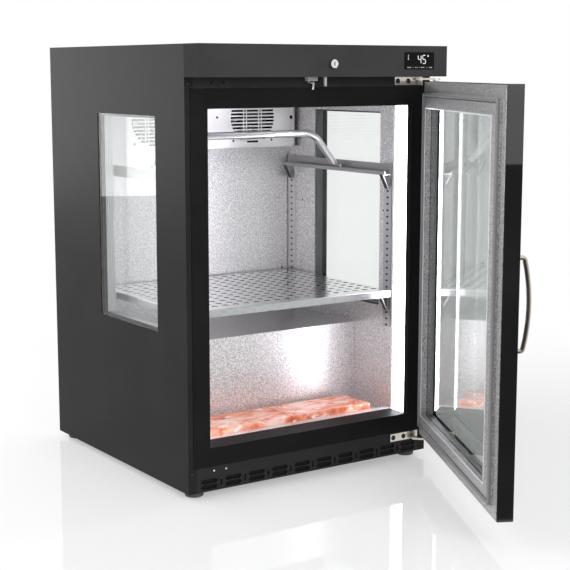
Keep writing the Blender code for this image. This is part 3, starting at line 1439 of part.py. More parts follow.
def door_frame():
    """Frame moulding with rebates for two panes, bores for the hinge pins and a keeper pocket."""
    back = DOOR_BACK - LINER - CLEARANCE
    rebate = DOOR_RING - PANE_REBATE
    outer_floor = DOOR_FRONT + REBATE_DEPTH
    inner_floor = DOOR_BACK - SECOND_PANE_DEPTH - CLEARANCE
    section = [(0, DOOR_FRONT), (rebate, DOOR_FRONT), (rebate, outer_floor), (DOOR_RING, outer_floor),
               (DOOR_RING, inner_floor), (rebate, inner_floor), (rebate, back), (0, back)]
    frame = add_piece("door_frame", frame_ring(DOOR_LOW, DOOR_HIGH, section), "casing", door=True)
    axis = (HINGE_X, HINGE_Y, 0)
    bore = clear_radius(PIN_RADIUS, ROUND_STEPS)
    deep = PIN_LENGTH + BORE_EXTRA
    cut(frame, cylinder(axis, bore, DOOR_TOP - deep, DOOR_TOP + OVERRUN, FLAT, ROUND_STEPS))
    cut(frame, cylinder(axis, bore, DOOR_BOTTOM - OVERRUN, DOOR_BOTTOM + deep, FLAT, ROUND_STEPS))
    gap = BOLT_WIDTH / 2 + POCKET_MARGIN
    depth = BOLT_BELOW - DOOR_TOP_GAP + POCKET_MARGIN
    cut(frame, box((LOCK_X - gap, BOLT_FRONT - POCKET_MARGIN, DOOR_TOP - depth),
                   (LOCK_X + gap, BOLT_BACK + POCKET_MARGIN, DOOR_TOP + OVERRUN)))


def door_liner():
    """Stucco inner sheet: flat margin, seat for the gasket, raised bead to the pane's edge."""
    seat = DOOR_BACK + LINER_STEP
    face = [(LINER_MARGIN, DOOR_BACK), (GASKET_INSET, DOOR_BACK), (GASKET_INSET, seat),
            (GASKET_INSET + GASKET_WIDTH, seat), (LINER_RISE_END, DOOR_BACK + LINER_RAISED),
            (DOOR_RING, DOOR_BACK + LINER_EDGE),
            (DOOR_RING, DOOR_BACK - SECOND_PANE_DEPTH + PANE + CLEARANCE)]
    section = face + offset_line(face, -LINER)[::-1]
    add_piece("door_liner", frame_ring(DOOR_LOW, DOOR_HIGH, section), "stucco", door=True)


def door_gasket():
    """Soft magnetic gasket with a rounded bulb that meets the front frame."""
    low = DOOR_BACK + LINER_STEP + CLEARANCE
    high = -FRAME_FACE - CLEARANCE
    shoulder, left, right = BULB_SHARES
    inner = GASKET_INSET + GASKET_WIDTH
    section = [(GASKET_INSET, low), (inner, low), (inner, low + (high - low) * shoulder),
               (GASKET_INSET + GASKET_WIDTH * right, high), (GASKET_INSET + GASKET_WIDTH * left, high),
               (GASKET_INSET, low + (high - low) * shoulder)]
    add_piece("door_gasket", frame_ring(DOOR_LOW, DOOR_HIGH, section), "rubber", door=True)


def door_panes():
    """Outer pane flush with the frame's face, inner pane behind the liner's edge."""
    inset = DOOR_RING - PANE_REBATE + CLEARANCE
    outline = rectangle_points(DOOR_LEFT + inset, DOOR_RIGHT - inset, DOOR_BOTTOM + inset, DOOR_TOP - inset)
    bm = plate(outline, DOOR_FRONT, DOOR_FRONT + PANE, FRONT)
    add_piece("door_glass_outer", bm, "glass", door=True)
    front = DOOR_BACK - SECOND_PANE_DEPTH
    add_piece("door_glass_inner", plate(outline, front, front + PANE, FRONT), "glass", door=True)


HANDLE_INSET = 0.040
HANDLE_MIDDLE = 0.432
HANDLE_SPAN = 0.180
HANDLE_PROUD = 0.0345
HANDLE_RADIUS = 0.0045
HANDLE_LEG = 0.013
HANDLE_ROUND = 0.006
BOW_STEPS = 8


def door_handle():
    """Bow handle on the door's face beside its free edge: two short legs and an arc."""
    half = HANDLE_SPAN / 2
    start = DOOR_FRONT - CLEARANCE
    shoulder = DOOR_FRONT - HANDLE_LEG
    rise = HANDLE_PROUD - HANDLE_RADIUS - HANDLE_LEG
    radius = (half * half + rise * rise) / (2 * rise)
    spread = math.degrees(math.asin(half / radius))
    x = DOOR_LEFT + HANDLE_INSET
    centre = (HANDLE_MIDDLE, shoulder - rise + radius)
    bow = arc_points(centre, radius, -90 - spread, -90 + spread, BOW_STEPS)
    path = [(x, start, HANDLE_MIDDLE - half), *[(x, y, z) for z, y in bow],
            (x, start, HANDLE_MIDDLE + half)]
    legs_rounded = rounded_path(path[:3], HANDLE_ROUND, 2)[:-1]
    far_rounded = rounded_path(path[-3:], HANDLE_ROUND, 2)[1:]
    points = [*legs_rounded, *[Vector(point) for point in path[2:-2]], *far_rounded]
    pivot = Vector((x, DOOR_FRONT, HANDLE_MIDDLE))
    curve = tube_curve([point - pivot for point in points], HANDLE_RADIUS, 2)
    handle = bpy.data.objects.new("door_handle", curve)
    curve.materials.append(material("door_handle", "nickel"))
    pieces.objects.link(handle)
    place(handle, pivot, True)


# Everything

for old in list(bpy.data.objects):
    bpy.data.objects.remove(old, do_unlink=True)

pieces = bpy.data.collections.new("dry_aging_cabinet")
helpers = bpy.data.collections.new("helpers")
bpy.context.scene.collection.children.link(pieces)
bpy.context.scene.collection.children.link(helpers)

door_axis = bpy.data.objects.new("door_axis", None)
door_axis.location = Vector((HINGE_X, HINGE_Y, 0)) - ORIGIN
door_axis.rotation_euler.z = OPEN_ANGLE
pieces.objects.link(door_axis)

for hand in ("left", "right"):
    side_panel(hand)
    liner_side(hand)
    window_panes(hand)
    light_strip(hand)
    salt_block(hand)
    for row_name in PILASTER_Y:
        pilaster(row_name, hand)
        shelf_clip(row_name, hand)
    hanging_rail(hand)
top_panel()
rear_panel()
base_pan()
header_rail()
bottom_grille()
front_frame()
for place_label, place_xy in FOOT_PLACES.items():
    foot(place_label, place_xy)
insulation()
liner_wrap()
evaporator_cover()
evaporator_coil()
fan_frame("evaporator_fan_frame_left", GRILLE_X)
fan_frame("evaporator_fan_frame_right", WIDTH - GRILLE_X)
FAN_Y = COVER_FRONT + COVER_SHEET + CLEARANCE + FAN_DEPTH - FAN_STRUT - CLEARANCE - FAN_HUB_DEPTH / 2
for fan_name, fan_x in (("evaporator_fan_left", GRILLE_X), ("evaporator_fan_right", WIDTH - GRILLE_X)):
    fan_rotor(fan_name, (fan_x, FAN_Y, GRILLE_Z), FAN_HUB, FAN_BORE - TIP_GAP, FAN_HUB_DEPTH, "plastic")
hanging_bar()
perforated_shelf()
fascia()
controller()
lock_cylinder()
lock_bolt()
door_switch()
door_switch_lever()
hinges()
compressor()
condenser_motor_front = condenser()
CONDENSER_FAN_Y = condenser_motor_front - CLEARANCE - CONDENSER_FAN_DEPTH / 2
fan_rotor("condenser_fan", (CONDENSER_X, CONDENSER_FAN_Y, CONDENSER_MIDDLE), CONDENSER_HUB,
          SHROUD_BORE - TIP_GAP, CONDENSER_FAN_DEPTH, "aluminium")
drip_tray()
door_frame()
door_liner()
door_gasket()
door_panes()
door_handle()

print("origin", [round(value, 5) for value in ORIGIN])
print("pieces", len([obj for obj in pieces.objects if obj.type != "EMPTY"]))
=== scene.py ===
# %% [markdown]
# Dressing a dry aging cabinet
#
# The cabinet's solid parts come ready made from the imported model. This lesson gives every part a
# finish made of nodes, and adds the small things a solid model leaves out: screws, a perforated
# shelf, the gasket's profile, the display's figures, the salt blocks' rough faces.

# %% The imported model
import json
import math

import bmesh
import bpy
from mathutils import Matrix, Quaternion, Vector, noise


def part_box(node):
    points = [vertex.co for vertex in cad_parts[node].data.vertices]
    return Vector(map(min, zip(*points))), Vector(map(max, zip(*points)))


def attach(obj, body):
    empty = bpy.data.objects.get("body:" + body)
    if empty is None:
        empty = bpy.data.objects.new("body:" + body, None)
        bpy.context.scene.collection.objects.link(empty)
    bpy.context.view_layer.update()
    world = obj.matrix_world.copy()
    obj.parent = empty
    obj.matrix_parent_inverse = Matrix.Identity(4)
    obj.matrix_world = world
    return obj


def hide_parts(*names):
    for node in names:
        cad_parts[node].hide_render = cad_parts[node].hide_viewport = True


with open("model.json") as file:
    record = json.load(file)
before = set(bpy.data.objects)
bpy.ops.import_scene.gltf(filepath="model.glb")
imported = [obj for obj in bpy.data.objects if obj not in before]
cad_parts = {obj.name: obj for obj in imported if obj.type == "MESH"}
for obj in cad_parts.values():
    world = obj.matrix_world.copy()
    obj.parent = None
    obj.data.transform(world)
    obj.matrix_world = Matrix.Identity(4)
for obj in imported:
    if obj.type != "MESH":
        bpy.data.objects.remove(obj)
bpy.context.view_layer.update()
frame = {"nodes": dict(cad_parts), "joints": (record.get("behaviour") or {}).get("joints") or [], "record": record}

# %% [markdown]
# Where things are
#
# Every place below is written as a fitter would measure it, in millimetres from the cabinet's left
# front corner on the floor. One function turns it into the model's metres. The door stands open, so
# its pieces are made as if it were shut and then swung about the hinge, by the angle in the record.

# %% Places on the cabinet and on the door
LEFT_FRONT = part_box("left_side_panel")[0]
WIDTH = 600


def at(x, y, z):
    """A place in millimetres from the cabinet's left front corner, in the model's metres."""
    return Vector((LEFT_FRONT.x + x / 1000, LEFT_FRONT.y + y / 1000, z / 1000))


hinge = next(joint for joint in frame["joints"] if joint["name"] == "door_hinge")
hinge_axis = Vector(hinge["pos_m"])
swing = Matrix.Rotation(-math.radians(hinge["range_deg"][0]), 4, "Z")
DOOR_SWING = Matrix.Translation(hinge_axis) @ swing @ Matrix.Translation(-hinge_axis)
print("door stands open by", -hinge["range_deg"][0], "degrees")

# %% [markdown]
# Writing nodes as sums
#
# A node tree is easier to read as arithmetic than as dozens of link lines. A small class wraps a
# socket, so that 1 - mask or cloud * 0.1 adds the Math node it needs. Every other kind of node comes
# from one method, which takes the node's settings first and then the values of its sockets.

# %% The graph helper
class Value:
    """A socket that can stand in an arithmetic expression."""

    def __init__(self, graph, socket):
        self.graph, self.socket = graph, socket

    def out(self, label):
        """Another output of the same node."""
        return Value(self.graph, self.socket.node.outputs[label])

    def maths(self, operation, first, second):
        """A Math node on two sockets or numbers."""
        return self.graph.node("ShaderNodeMath", {"operation": operation}, {0: first, 1: second})

    def __add__(self, other):
        return self.maths("ADD", self, other)

    def __radd__(self, other):
        return self.maths("ADD", other, self)

    def __sub__(self, other):
        return self.maths("SUBTRACT", self, other)

    def __rsub__(self, other):
        return self.maths("SUBTRACT", other, self)

    def __mul__(self, other):
        return self.maths("MULTIPLY", self, other)

    def __rmul__(self, other):
        return self.maths("MULTIPLY", other, self)


class Graph:
    """Nodes of one tree."""

    def __init__(self, tree):
        self.tree = tree

    def node(self, kind, settings=None, inputs=None):
        """One node: its settings are made first, then its sockets get a value or a link."""
        made = self.tree.nodes.new(kind)
        for label, setting in (settings or {}).items():
            if label == "stops":
                self.stops(made.color_ramp, setting)
            else:
                setattr(made, label, setting)
        for label, value in (inputs or {}).items():
            self.plug(made, label, value)
        shown = [socket for socket in made.outputs if socket.enabled]
        return Value(self, shown[0]) if shown else made

    def plug(self, made, label, value):
        """Gives one socket, found by number, identifier or name, its value or link."""
        if isinstance(label, int):
            socket = made.inputs[label]
        else:
            socket = next(s for s in made.inputs if label in (s.identifier, s.name))
        if isinstance(value, Value):
            self.tree.links.new(value.socket, socket)
        else:
            socket.default_value = value

    def stops(self, ramp, stops):
        """Colour stops of a ramp, as pairs of position and colour."""
        while len(ramp.elements) < len(stops):
            ramp.elements.new(1.0)
        for element, (position, colour) in zip(ramp.elements, stops):
            element.position, element.color = position, (*colour, 1)


print("graph helper ready")

# %% [markdown]
# A finish is a material with a few habits
#
# Constant values go on the shader's own sockets. What changes over the surface, such as cloudiness,
# grain or veins, is built from noise on the piece's own coordinates, and feeds colour, roughness or
# a small bump. Where an underside or a cut edge gets painted shade, the surface's true normal tells
# it from the face. The same few methods then serve every paint, metal and stone below.

# %% The finish helper
class Finish(Graph):
    """A material of one shader, with its nodes."""

    made = {}

    def __init__(self, name, values=None):
        self.material = bpy.data.materials.new(name)
        self.material.use_nodes = True
        super().__init__(self.material.node_tree)
        self.shader = self.tree.nodes["Principled BSDF"]
        for label, value in (values or {}).items():
            self.shader.inputs[label].default_value = value
        self.place = self.node("ShaderNodeTexCoord").out("Object")
        Finish.made[name] = self

    def feed(self, label, value):
        """Links a value to one of the shader's sockets."""
        self.tree.links.new(value.socket, self.shader.inputs[label])

    def stretched(self, x, y, z):
        """The piece's coordinates, scaled unevenly, for grain that runs one way."""
        return self.node("ShaderNodeMapping", {}, {"Vector": self.place, "Scale": (x, y, z)})

    def noise(self, scale, detail=2.0, place=None):
        """Soft clouds from nought to one, finer with a greater scale."""
        return self.node("ShaderNodeTexNoise", {},
                         {"Vector": place or self.place, "Scale": scale, "Detail": detail})

    def cells(self, scale, feature="F1"):
        """Voronoi cells, for pebbles and crystals."""
        return self.node("ShaderNodeTexVoronoi", {"feature": feature},
                         {"Vector": self.place, "Scale": scale})

    def facing(self, axis):
        """How far the surface looks along an axis, from -1 to 1."""
        normal = self.node("ShaderNodeNewGeometry").out("True Normal")
        return self.node("ShaderNodeSeparateXYZ", {}, {"Vector": normal}).out(axis)

    def step(self, value, low, high):
        """Zero below one level, one above another, and smooth between them."""
        return self.node("ShaderNodeMapRange", {"interpolation_type": "SMOOTHSTEP"},
                         {"Value": value, "From Min": low, "From Max": high})

    def mix(self, mask, first, second):
        """One colour turning into another where the mask is one."""
        pair = {"A_Color": first, "B_Color": second}
        colours = {label: colour if isinstance(colour, Value) else (*colour, 1)
                   for label, colour in pair.items()}
        return self.node("ShaderNodeMix", {"data_type": "RGBA"}, {"Factor_Float": mask, **colours})

    def clouded(self, scale, first, second, label="Base Color"):
        """Feeds two near colours, in clouds."""
        self.feed(label, self.mix(self.noise(scale), first, second))

    def cover(self, mask, colour):
        """Another colour over the base colour, where the mask is one."""
        under = Value(self, self.shader.inputs["Base Color"].links[0].from_socket)
        self.feed("Base Color", self.mix(mask, under, colour))

    def relief(self, height, depth, strength=1.0):
        """Bumps of a depth in metres."""
        self.feed("Normal", self.node("ShaderNodeBump", {},
                                      {"Height": height, "Distance": depth, "Strength": strength}))


print("finish helper ready")

# %% [markdown]
# Powder paint on the casing, the frames and the control box
#
# The outer panels are steel with baked powder paint. Close up it has a fine orange peel, and from a
# step back its gloss is slightly cloudy. A high noise makes the peel as a bump of a few hundredths
# of a millimetre, and a low one shifts colour and roughness by a little.

# %% Paints
def powder_coat(name, colour, worn, roughness, shine, peel=0.00003):
    """Baked paint: two near colours in clouds, a gloss that follows them, and orange peel."""
    finish = Finish(name, {"IOR": 1.45, "Specular IOR Level": shine})
    cloud = finish.noise(7, 3)
    finish.feed("Base Color", finish.mix(finish.step(cloud, 0.35, 0.7), colour, worn))
    finish.feed("Roughness", roughness + cloud * 0.08)
    finish.relief(finish.noise(1100, 2), peel)


powder_coat("casing", (0.018, 0.018, 0.0182), (0.022, 0.022, 0.0222), 0.35, 0.05)
powder_coat("black_paint", (0.0105, 0.0105, 0.0107), (0.0135, 0.0135, 0.0138), 0.42, 0.04)
powder_coat("rail_paint", (0.021, 0.021, 0.0213), (0.025, 0.025, 0.0253), 0.36, 0.12)
powder_coat("fascia_paint", (0.041, 0.041, 0.0415), (0.050, 0.050, 0.0505), 0.40, 0.0)
powder_coat("door_gloss", (0.010, 0.010, 0.0105), (0.013, 0.013, 0.0135), 0.02, 1.0, 0.0)
print("paints", list(Finish.made))

# %% [markdown]
# Stucco aluminium
#
# The chamber and the door's inner face are rolled aluminium sheet with an embossed pebble pattern,
# about two millimetres across. Smooth Voronoi cells give the pebbles, and a finer noise the grain on
# them. The hollows are painted darker and duller than the tops, as painted shade, which makes the
# sheet sparkle.

# %% Stucco
def embossed(name, hollow_shade, top, metallic, roughness):
    """Rolled sheet with pebbles and grain, in a colour of painted shade for hollows and one for tops."""
    finish = Finish(name, {"Metallic": metallic})
    pebbles = finish.cells(420, "SMOOTH_F1")
    grain = finish.noise(580, 3)
    height = pebbles * 0.8 + grain
    # Painted shade: the pebbles' hollows get the darker colour.
    finish.feed("Base Color", finish.mix(finish.step(height, 0.66, 0.98), hollow_shade, top))
    finish.feed("Roughness", roughness + grain * 0.2)
    finish.relief(height, 0.00010, 0.5)


embossed("stucco_aluminium", (0.52, 0.505, 0.515), (0.93, 0.915, 0.93), 0.62, 0.25)
# Painted shade: the door's sheet is a darker copy of the chamber's stucco.
embossed("door_stucco", (0.22, 0.22, 0.225), (0.56, 0.56, 0.565), 0.5, 0.34)
print("stucco made")

# %% [markdown]
# Smooth sheet, painted shade and painted light
#
# The fan cover is the same aluminium without the pebbles. The walls of its punched slots get painted
# shade: any surface that looks along the sheet and not out of it turns nearly black. The lamps'
# channels are painted a bluish white as painted light, and the fine bead round the door's opening is
# a painted highlight in the same white.

# %% Smooth sheet, painted shade and painted light
# A near black for painted shade on cut edges and slot walls.
SHADE_BLACK = (0.015, 0.015, 0.015)
cover_sheet = Finish("cover_sheet", {"Metallic": 0.7})
rolled = cover_sheet.noise(500, 3)
cover_sheet.feed("Base Color", cover_sheet.mix(rolled, (0.74, 0.73, 0.745), (0.84, 0.83, 0.845)))
outward = cover_sheet.facing("Y")
# Painted shade: faces along the sheet, the slot walls, turn nearly black.
cover_sheet.cover(1 - cover_sheet.step(outward * outward, 0.2, 0.5), SHADE_BLACK)
cover_sheet.feed("Roughness", 0.24 + rolled * 0.14)
cover_sheet.relief(rolled, 0.00002)

# Painted light: a bluish white for the lamps' channels and the highlight bead round the door's opening.
bead_paint = Finish("bead_paint", {"Metallic": 0.3, "Roughness": 0.3})
bead_paint.clouded(300, (0.82, 0.82, 0.86), (0.90, 0.90, 0.93))
print("sheet and white paint made")

# %% [markdown]
# Bare metals
#
# Zinc-coated sheet shows its spangle, large flat crystals, so Voronoi cells each shift the grey.
# Brushed steel has grain along one direction, which is noise on stretched coordinates. Nickel and
# chrome are plated and nearly smooth, with the faintest wipe marks in their roughness. The shelf's
# punched edges get painted shade: its upright faces are told from its level ones and turn nearly
# black. The undersides of rails and clips are told the same way and get a dull grey of painted shade.

# %% Metals
def plated(name, colour, worn, roughness, marks):
    """A nearly smooth metal with wipe marks."""
    finish = Finish(name, {"Metallic": 1.0})
    wipes = finish.noise(60, 3, finish.stretched(1, 1, 6))
    finish.feed("Base Color", finish.mix(wipes, colour, worn))
    finish.feed("Roughness", roughness + wipes * marks)


def brushed(name, colour, worn, roughness, scales):
    """A metal with fine lines, which run along the axis of the smallest scale."""
    finish = Finish(name, {"Metallic": 1.0})
    lines = finish.noise(900, 3, finish.stretched(*scales))
    finish.feed("Base Color", finish.mix(lines, colour, worn))
    finish.feed("Roughness", roughness + lines * 0.14)
    finish.relief(lines, 0.00002)
    return finish


plated("nickel", (0.74, 0.69, 0.62), (0.64, 0.60, 0.54), 0.14, 0.12)
plated("warm_nickel", (0.60, 0.55, 0.49), (0.48, 0.44, 0.39), 0.26, 0.10)
plated("chrome", (0.80, 0.79, 0.77), (0.72, 0.71, 0.69), 0.05, 0.08)
brushed("steel", (0.66, 0.66, 0.67), (0.56, 0.56, 0.57), 0.22, (0.04, 1, 1))
brushed("fin", (0.70, 0.71, 0.72), (0.56, 0.57, 0.58), 0.30, (1, 1, 0.1))
brushed("blade_steel", (0.88, 0.88, 0.89), (0.80, 0.80, 0.81), 0.40, (1, 1, 1))
brushed("rail_steel", (0.52, 0.52, 0.525), (0.44, 0.44, 0.445), 0.46, (1, 0.04, 1))
brushed("clip_steel", (0.34, 0.34, 0.345), (0.26, 0.26, 0.265), 0.36, (1, 1, 1))
brushed("seal_black", (0.012, 0.012, 0.013), (0.018, 0.018, 0.019), 0.4, (1, 1, 1))
# Painted shade: a dark copy of the spacer metal, for spacers that lie in shade.
brushed("spacer", (0.12, 0.13, 0.135), (0.09, 0.10, 0.105), 0.35, (1, 1, 0.05))
print("plated and brushed metals made")

# %% Painted shade on undersides and edges, and zinc
for name in ("rail_steel", "clip_steel"):
    finish = Finish.made[name]
    # Painted shade: downward faces of rails and clips turn dull grey.
    finish.cover(finish.step(0 - finish.facing("Z"), 0.15, 0.4), (0.10, 0.10, 0.10))

punched_steel = brushed("punched_steel", (0.90, 0.90, 0.905), (0.80, 0.80, 0.805), 0.15, (0.04, 1, 1))
upward = punched_steel.facing("Z")
# Painted shade: the shelf's upright faces, its punched edges, turn nearly black.
punched_steel.cover(1 - punched_steel.step(upward * upward, 0.2, 0.5), SHADE_BLACK)

zinc = Finish("galvanised", {"Metallic": 0.85})
spangle = zinc.cells(70).out("Color")
facet = zinc.node("ShaderNodeSeparateColor", {}, {"Color": spangle})
zinc.feed("Base Color", zinc.mix(facet, (0.42, 0.44, 0.46), (0.60, 0.61, 0.63)))
zinc.feed("Roughness", 0.34 + facet * 0.2)
zinc.relief(zinc.noise(500, 2), 0.00002)
print("metals", list(Finish.made))

# %% [markdown]
# Glass, lamps, rubber, foam and plastics
#
# The panes are clear glass with a green cast, thick enough to bend light, so they stay real glass
# and not thin sheets. The lamps behind the opening are opal strips that glow by themselves, the left
# one less than the right one. Rubber, foam and moulded plastic have fine pores or grain in their
# bump.

# %% Glass and lamps
def clear_glass(name, colour, other, index):
    """Glass that bends light, with a faint cast."""
    Finish(name, {"Roughness": 0.0, "Transmission Weight": 1.0, "IOR": index}).clouded(4, colour, other)


clear_glass("pane", (0.93, 0.945, 0.94), (0.94, 0.955, 0.95), 1.24)
clear_glass("door_pane", (0.86, 0.885, 0.875), (0.87, 0.895, 0.885), 1.5)

for name, glow in (("diffuser", 12.0), ("dim_diffuser", 5.5)):
    opal = Finish(name, {"Roughness": 0.4, "Emission Strength": glow})
    opal.clouded(20, (0.90, 0.90, 0.92), (0.95, 0.95, 0.97))
    opal.clouded(14, (0.93, 0.91, 1.0), (0.98, 0.97, 1.0), "Emission Color")
print("glass and lamps made")

# %% Rubber, foam and plastics
def moulded(name, colour, worn, roughness, pores, depth):
    """Rubber, foam or plastic with fine pores."""
    finish = Finish(name)
    skin = finish.noise(pores, 4)
    finish.feed("Base Color", finish.mix(finish.step(skin, 0.3, 0.7), colour, worn))
    finish.feed("Roughness", roughness + skin * 0.15)
    finish.relief(skin, depth)
    return finish


moulded("rubber", (0.060, 0.060, 0.062), (0.080, 0.080, 0.082), 0.50, 1400, 0.00003)
moulded("gasket_rubber", (0.20, 0.20, 0.205), (0.23, 0.23, 0.235), 0.50, 1400, 0.00003)
moulded("switch_plastic", (0.42, 0.42, 0.45), (0.48, 0.48, 0.51), 0.35, 900, 0.00001)
moulded("black_plastic", (0.010, 0.010, 0.011), (0.015, 0.015, 0.016), 0.22, 1800, 0.00001)
moulded("machine_black", (0.012, 0.012, 0.013), (0.018, 0.018, 0.019), 0.28, 700, 0.00004)
moulded("foam", (0.72, 0.62, 0.38), (0.80, 0.71, 0.47), 0.80, 350, 0.0004)
window = moulded("display_window", (0.0030, 0.0030, 0.0034), (0.0042, 0.0042, 0.0046), 0.10, 1800, 0.0)
window.shader.inputs["Specular IOR Level"].default_value = 0.08
print("finishes", list(Finish.made))

# %% [markdown]
# Rock salt
#
# The blocks are sawn from banded salt: pale pink clouds, orange bands and a few white streaks of
# purer crystal. Noise that is bent by another noise gives flowing bands, a ramp gives their colours,
# and a sharper band turns into the white streaks.

# %% Salt
salt = Finish("salt", {"IOR": 1.5})
bend = salt.node("ShaderNodeTexNoise", {}, {"Vector": salt.place, "Scale": 14, "Detail": 2}).out("Color")
bent = salt.node("ShaderNodeMix", {"data_type": "VECTOR"},
                 {"Factor_Float": 0.06, "A_Vector": salt.stretched(1, 2.2, 1.4), "B_Vector": bend})
bands = salt.noise(26, 4, bent)
streaks = salt.step(salt.noise(38, 3, bent), 0.58, 0.66)
colours = salt.node("ShaderNodeValToRGB", {"stops": [
    (0.34, (0.62, 0.12, 0.05)), (0.44, (0.83, 0.23, 0.11)), (0.54, (0.92, 0.43, 0.30)),
    (0.66, (0.96, 0.69, 0.61))]}, {"Fac": bands})
salt.feed("Base Color", salt.mix(streaks, colours, (0.95, 0.82, 0.76)))
salt.feed("Roughness", 0.20 + bands * 0.25)
salt.relief(salt.noise(320, 4), 0.0002)
print("salt made")

# %% [markdown]
# Painting the solids
#
# The record says which finish each part has, under the same names as above, so one loop paints the
# whole cabinet. A few parts have a look of their own: the door's sheet is painted darker than the
# chamber's, as painted shade, and is duller, and its frame is glossy. A part's mesh stays as it is:
# only its material slot changes.

# %% Finishes on the solids
own_look = {"header_rail": "rail_paint", "bottom_grille": "rail_paint",
            "hanging_rail_left": "rail_steel", "hanging_rail_right": "rail_steel",
            "evaporator_fan_frame_left": "seal_black", "evaporator_fan_frame_right": "seal_black",
            "shelf_clip_front_left": "clip_steel", "shelf_clip_front_right": "clip_steel",
            "shelf_clip_rear_left": "clip_steel", "shelf_clip_rear_right": "clip_steel",
            "door_frame": "door_gloss", "door_liner": "door_stucco",
            "door_glass_outer": "door_pane", "door_glass_inner": "door_pane",
            "door_switch": "switch_plastic", "controller": "display_window",
            # Painted shade: the lock's flange is black for the shade round its barrel.
            "lock_cylinder": "black_paint", "base_pan": "machine_black"}
for part in frame["record"]["subparts"]:
    solid = frame["nodes"][part["node"]]
    solid.data.materials.clear()
    finish = own_look.get(part["node"], part["material_slot"])
    solid.data.materials.append(Finish.made[finish].material)
print("painted", len(frame["nodes"]), "parts")

# %% [markdown]
# From mesh to finished piece
#
# Each new piece goes through the same few steps: outward normals, smooth shading with sharp creases,
# its finish, and the body of the model that it moves with. Pieces of the door are swung open last.

# %% The finishing helper
CREASE = math.radians(32)


def tidied(bm, name):
    """A mesh from a bmesh: doubles merged, faces outward, sharp creases marked."""
    bmesh.ops.remove_doubles(bm, verts=bm.verts, dist=0.000002)
    bmesh.ops.recalc_face_normals(bm, faces=bm.faces)
    for face in bm.faces:
        face.smooth = True
    for edge in bm.edges:
        if edge.is_manifold:
            edge.smooth = edge.calc_face_angle(0) < CREASE
    mesh = bpy.data.meshes.new(name)
    bm.to_mesh(mesh)
    bm.free()
    return mesh


def show(name, bm, finish, body, replaced=(), look=None):
    """Puts a piece in the scene with its finish, on its body."""
    if body == "door":
        bm.transform(DOOR_SWING)
    mesh = tidied(bm, name)
    piece = bpy.data.objects.new(name, mesh)
    bpy.context.scene.collection.objects.link(piece)
    mesh.materials.clear()
    mesh.materials.append(Finish.made[look or finish].material)
    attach(piece, body)
    if replaced:
        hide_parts(*replaced)
    print(name, len(mesh.polygons), "faces on", body)
    return piece


# %% [markdown]
# Shapes used more than once
#
# A lathe turns a profile about an axis, for feet and screws. Loops of points joined one to the next
# give everything with two flat ends: a straight bar, a spring blade, and the tube of the hanging bar
# and the handle. A ring carries a section round a rectangle with mitred corners, for the gasket and
# the spacers.

# %% Lathe
def lathe(profile, steps):
    """A closed turned shape about Z, from a profile that starts and ends on the axis."""
    bm = bmesh.new()
    rings = []
    for radius, level in profile:
        if radius == 0:
            rings.append([bm.verts.new((0, 0, level))])
        else:
            angles = [2 * math.pi * step / steps for step in range(steps)]
            rings.append([bm.verts.new((radius * math.cos(a), radius * math.sin(a), level))
                          for a in angles])
    for lower, upper in zip(rings, rings[1:]):
        for step in range(steps):
            after = (step + 1) % steps
            corners = [lower[step % len(lower)], lower[after % len(lower)],
                       upper[after % len(upper)], upper[step % len(upper)]]
            bm.faces.new(list(dict.fromkeys(corners)))
    return bm


print("lathe ready")


# %% Joined loops, bar and tube
def add_joined(bm, loops):
    """A closed shape through loops of points, with flat ends."""
    rings = [[bm.verts.new(point) for point in loop] for loop in loops]
    bm.faces.new(rings[0][::-1])
    bm.faces.new(rings[-1])
    for first, second in zip(rings, rings[1:]):
        for step in range(len(first)):
            after = (step + 1) % len(first)
            bm.faces.new((first[step], first[after], second[after], second[step]))


def prism(outline, low, high):
    """A bar along Z with one flat outline."""
    bm = bmesh.new()
    add_joined(bm, [[(x, y, level) for x, y in outline] for level in (low, high)])
    return bm


def tube(points, radius, sides):
    """A round bar along a path, its sides carried without twist."""
    points = [Vector(point) for point in points]
    ways = [(b - a).normalized() for a, b in zip(points, points[1:])]
    ways = [ways[0]] + [(a + b).normalized() for a, b in zip(ways, ways[1:])] + [ways[-1]]
    side = ways[0].orthogonal().normalized()
    turns = [2 * math.pi * step / sides for step in range(sides)]
    loops = []
    for index, (point, way) in enumerate(zip(points, ways)):
        if index:
            side = ways[index - 1].rotation_difference(way) @ side
        other = way.cross(side)
        loops.append([point + (side * math.cos(a) + other * math.sin(a)) * radius for a in turns])
    bm = bmesh.new()
    add_joined(bm, loops)
    return bm


def rounded_path(points, radius, steps):
    """Straight runs joined by arcs."""
    points = [Vector(point) for point in points]
    path = [points[0]]
    for before, corner, after in zip(points, points[1:], points[2:]):
        back, ahead = (before - corner).normalized(), (after - corner).normalized()
        half = back.angle(ahead) / 2
        centre = corner + (back + ahead).normalized() * radius / math.sin(half)
        arm = corner + back * radius / math.tan(half) - centre
        turn = arm.rotation_difference(corner + ahead * radius / math.tan(half) - centre)
        path += [centre + Quaternion().slerp(turn, step / steps) @ arm for step in range(steps + 1)]
    return path + [points[-1]]


print("bar and tube ready")


# %% Ring and box
def ring(low, high, section, put):
    """A closed section of pairs (inset, depth) carried round a rectangle."""
    bm = bmesh.new()
    loops = []
    for u_high, v_high in ((False, False), (True, False), (True, True), (False, True)):
        loop = []
        for inset, depth in section:
            u = high[0] - inset if u_high else low[0] + inset
            v = high[1] - inset if v_high else low[1] + inset
            loop.append(bm.verts.new(put(u, v, depth)))
        loops.append(loop)
    for index in range(4):
        first, second = loops[index], loops[(index + 1) % 4]
        for step in range(len(section)):
            after = (step + 1) % len(section)
            bm.faces.new((first[step], first[after], second[after], second[step]))
    return bm


